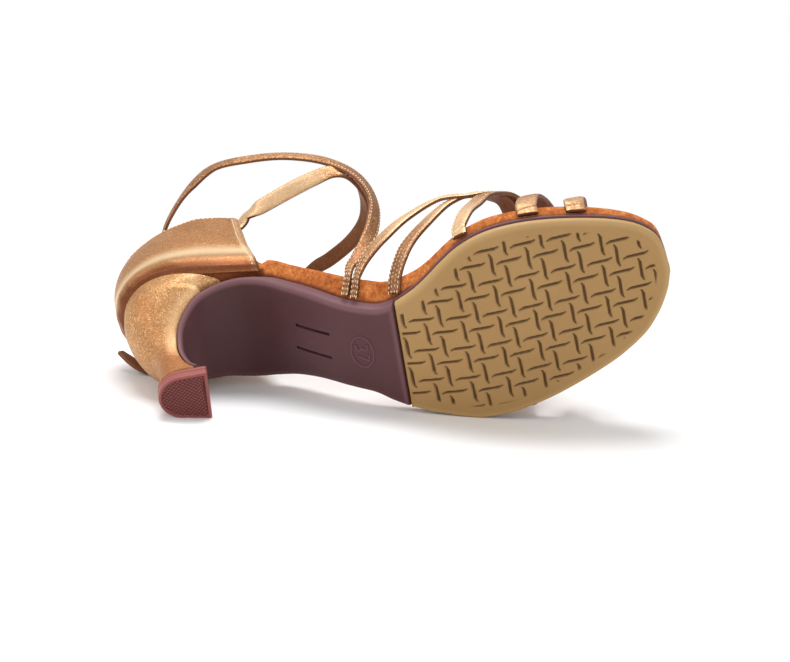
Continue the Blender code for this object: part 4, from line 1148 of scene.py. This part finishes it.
def strapPiece(name):
    strap = straps[name]
    rows, lift = [(*row, strap["width"])[:7] for row in strap["rows"]], strap.get("lift", 0.0)
    if "base" in strap:
        rows = baseRows(*strap["base"], min(lift, 0.0)) + rows
    if "end" in strap:
        rows = rows + baseRows(*strap["end"], 0.0)[::-1]
    line = eased(rows, 12)
    tangents = np.gradient(line[:, :3], axis=0)
    profile = strapProfile()
    rings, frames = [], []
    glow, deep = [], []
    for row, along in zip(line, tangents):
        along, out = Vector(along).normalized(), Vector(row[3:6]).normalized()
        across = along.cross(out).normalized()
        out = across.cross(along).normalized()
        middle = Vector(row[:3]) + out * lift
        if "end" not in strap and middle.y > 0 and middle.x > 140.0 and middle.z < 11.0:
            side = soleAt(middle.x - row[6] / 2, 3) + 1.0 + abs(lift)
            middle.y = max(middle.y, float(side))
        half = row[6] / 2
        rings.append([middle + across * (u * half) + out * (v * straps["thick"]) for u, v, s in profile])
        frames.append((middle, across, out, half))
        bright, dark = strapTone(name, *middle)
        glow += [bright] * len(profile)
        deep += [dark] * len(profile)
    points, faces = capped(rings)
    kinds = [s for u, v, s in profile]
    around = [max(kinds[k], kinds[k - len(kinds) + 1]) for k in range(len(kinds))]
    slots = around * (len(rings) - 1)
    slots += [1] * (len(faces) - len(slots))
    mats = [strapSatin, strapEdge, lining]
    obj = meshFrom(name, points, faces, mats, slots, glow=glow + [0, 0], deep=deep + [0, 0])
    settle(obj, "strap_bronze_satin", *strap.get("nodes", ()))
    strapLines[name] = frames


for name in ("toeStrap", "secondStrap", "fanMiddle", "fanFront", "fanBack", "ankleOuter", "ankleInner"):
    strapPiece(name)


# Rows of stitches: one short thread at each step along the lines it is given
stitch = {
    "bead": (("Segments", 8), ("Rings", 5), ("Radius", 0.5)),
    "vary": (("Min", (0.82, 0.85, 0.85)), ("Max", (1.1, 1.1, 1.1))),
    "seed": 7,
    "strapLong": (("fanMiddle", 0, 96), ("fanBack", 0, 108), ("ankleOuter", 2, 116), ("fanFront", 0, 60)),
    "strapFoot": (("fanMiddle", 44), ("fanBack", 44), ("ankleOuter", 34)),
    "ankleInner": (100, 180),
    "outside": (-0.74, 0.74),
    "inside": (-0.28, 0.28),
}


def stitchTree():
    tree = bpy.data.node_groups.new("stitchRows", "GeometryNodeTree")
    face = tree.interface
    face.new_socket("Lines", in_out="INPUT", socket_type="NodeSocketGeometry")
    for title, value in (("Spacing", 0.002), ("Length", 0.0012), ("Thickness", 0.0003)):
        face.new_socket(title, in_out="INPUT", socket_type="NodeSocketFloat").default_value = value
    face.new_socket("Seed", in_out="INPUT", socket_type="NodeSocketInt").default_value = stitch["seed"]
    face.new_socket("Thread", in_out="INPUT", socket_type="NodeSocketMaterial")
    face.new_socket("Stitches", in_out="OUTPUT", socket_type="NodeSocketGeometry")
    given, result = tree.nodes.new("NodeGroupInput"), tree.nodes.new("NodeGroupOutput")
    curve, resample, bead, place, real, paint, tangent = (
        tree.nodes.new("GeometryNode" + kind) for kind in (
            "MeshToCurve", "ResampleCurve", "MeshUVSphere", "InstanceOnPoints", "RealizeInstances",
            "SetMaterial", "InputTangent"))
    resample.mode = "LENGTH"
    for title, value in stitch["bead"]:
        bead.inputs[title].default_value = value
    align = tree.nodes.new("FunctionNodeAlignRotationToVector")
    align.axis = "X"
    vary = tree.nodes.new("FunctionNodeRandomValue")
    vary.data_type = "FLOAT_VECTOR"
    for title, value in stitch["vary"]:
        vary.inputs[title].default_value = value
    size, scale = tree.nodes.new("ShaderNodeCombineXYZ"), tree.nodes.new("ShaderNodeVectorMath")
    scale.operation = "MULTIPLY"
    wires = (
        (given, "Lines", curve, "Mesh"), (curve, "Curve", resample, "Curve"),
        (given, "Spacing", resample, "Length"), (tangent, "Tangent", align, "Vector"),
        (given, "Seed", vary, "Seed"), (given, "Length", size, "X"), (given, "Thickness", size, "Y"),
        (given, "Thickness", size, "Z"), (size, 0, scale, 0), (vary, 0, scale, 1),
        (resample, "Curve", place, "Points"), (bead, "Mesh", place, "Instance"),
        (align, "Rotation", place, "Rotation"), (scale, 0, place, "Scale"),
        (place, "Instances", real, "Geometry"), (real, "Geometry", paint, "Geometry"),
        (given, "Thread", paint, "Material"), (paint, "Geometry", result, "Stitches"),
    )
    for source, output, target, entry in wires:
        tree.links.new(source.outputs[output], target.inputs[entry])
    return tree


stitchRows = stitchTree()


def stitchPiece(name, lines, size, slotName):
    mesh = bpy.data.meshes.new(name)
    points, edges = [], []
    for line in lines:
        start = len(points)
        points += toFloor(line).tolist()
        edges += [(start + k, start + k + 1) for k in range(len(line) - 1)]
    mesh.from_pydata(points, edges, [])
    obj = addObject(name, mesh)
    sew = obj.modifiers.new("stitches", "NODES")
    sew.node_group = stitchRows
    values = {title: value * 0.001 for title, value in zip(("Spacing", "Length", "Thickness"), size)}
    values["Thread"] = thread
    for item in stitchRows.interface.items_tree:
        if item.in_out == "INPUT" and item.name in values:
            sew[item.identifier] = values[item.name]
    bakeModifiers(obj)
    obj.data.shade_smooth()
    settle(obj, slotName)


def strapStitchLine(name, across, first, last):
    height = straps["thick"] * 0.72
    return [middle + side * (across * half) + out * height
            for middle, side, out, half in strapLines[name][first:last]]


topRow = cupSkinLine(cup["stitchShare"], 0.12)[0]
topRow = np.column_stack([topRow, cupZ(topRow[:, 0], cup["stitchShare"])])[6:-6]
frontRow = []
for share in np.linspace(0.05, 0.93, 60):
    line, edge = cupSkinLine(share, 0.1)[:2]
    at = [float(np.interp(2.5, edge[:30], line[:30, n])) for n in (0, 1)]
    frontRow.append((at[0], at[1], float(cupZ(at[0], share))))
stitchPiece("cupStitches", [topRow, frontRow], cup["stitch"], "bronze_satin")

sewn = []
for name, first, last in stitch["strapLong"]:
    sewn += [strapStitchLine(name, u, first, last) for u in stitch["outside"]]
for name, last in stitch["strapFoot"]:
    sewn += [strapStitchLine(name, u, 2, last) for u in stitch["inside"]]
sewn += [strapStitchLine("ankleInner", u, *stitch["ankleInner"]) for u in stitch["outside"]]
stitchPiece("strapStitches", sewn, straps["stitch"], "strap_bronze_satin")

# The buckle keeps its own shape, and every other solid is behind its dressed piece
for name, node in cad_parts.items():
    node.data.materials.clear()
    node.data.materials.append(steel if name.startswith("buckle") else lining)


# Floor, lights and camera
studio = {
    "span": 6.0,
    "fade": (0.16, 0.42),
    "world": 0.62,
    "lamps": (
        ("topBox", (-0.05, 0.12, 0.85), (0.0, 0.0, 0.03), (0.55, 0.4), 6.5),
        ("leftBox", (-0.8, -0.25, 0.5), (-0.03, 0.0, 0.04), (0.4, 0.5), 2.6),
        ("frontBox", (0.25, -1.2, 0.5), (0.0, 0.0, 0.03), (0.9, 0.6), 3.6),
    ),
}
floorLook = bpy.data.materials.new("pale floor")
floorLook.use_nodes = True
tree = floorLook.node_tree
shader = tree.nodes["Principled BSDF"]
shader.inputs["Roughness"].default_value = 0.75
coords = shaderNode(tree, "TexCoord")["Object"]
soft = noiseNode(tree, coords, 40.0, 3.0, 0.5)
tree.links.new(mixNode(tree, soft, (0.87, 0.87, 0.875), (0.89, 0.89, 0.89)), shader.inputs["Base Color"])
away = tree.nodes.new("ShaderNodeVectorMath")
away.operation = "LENGTH"
tree.links.new(coords, away.inputs[0])
fade = rangeNode(tree, away.outputs["Value"], *studio["fade"])
glowNode = tree.nodes.new("ShaderNodeEmission")
blend = tree.nodes.new("ShaderNodeMixShader")
for value, socket in zip((fade, shader.outputs[0], glowNode.outputs[0]), blend.inputs):
    tree.links.new(value, socket)
tree.links.new(blend.outputs[0], tree.nodes["Material Output"].inputs["Surface"])
span = studio["span"]
floorMesh = bpy.data.meshes.new("floor")
corners = [(-span, -span, 0), (span, -span, 0), (span, span, 0), (-span, span, 0)]
floorMesh.from_pydata(corners, [], [(0, 1, 2, 3)])
floorMesh.materials.append(floorLook)
addObject("floor", floorMesh)

world = bpy.data.worlds.new("studio")
bpy.context.scene.world = world
world.use_nodes = True
world.node_tree.nodes["Background"].inputs[0].default_value = (1.0, 1.0, 1.0, 1.0)
world.node_tree.nodes["Background"].inputs[1].default_value = studio["world"]

for name, place, target, size, power in studio["lamps"]:
    lamp = bpy.data.lights.new(name, "AREA")
    lamp.shape = "RECTANGLE"
    lamp.size, lamp.size_y = size
    lamp.energy = power
    obj = addObject(name, lamp)
    obj.location = place
    obj.rotation_mode = "QUATERNION"
    obj.rotation_quaternion = (Vector(target) - Vector(place)).to_track_quat("-Z", "Y")

camera = addObject("photoCamera", bpy.data.cameras.new("photoCamera"))
camera.data.sensor_width = 36.0
camera.data.lens = 100.253
camera.data.clip_start = 0.05
camera.matrix_world = Matrix((
    (0.996967, -0.023158, -0.074294, -0.060669),
    (-0.066786, 0.235419, -0.969597, -0.883894),
    (0.039944, 0.971618, 0.233159, 0.237874),
    (0.0, 0.0, 0.0, 1.0),
))
bpy.context.scene.camera = camera
bpy.context.scene.view_settings.view_transform = "Standard"
print("stage set")
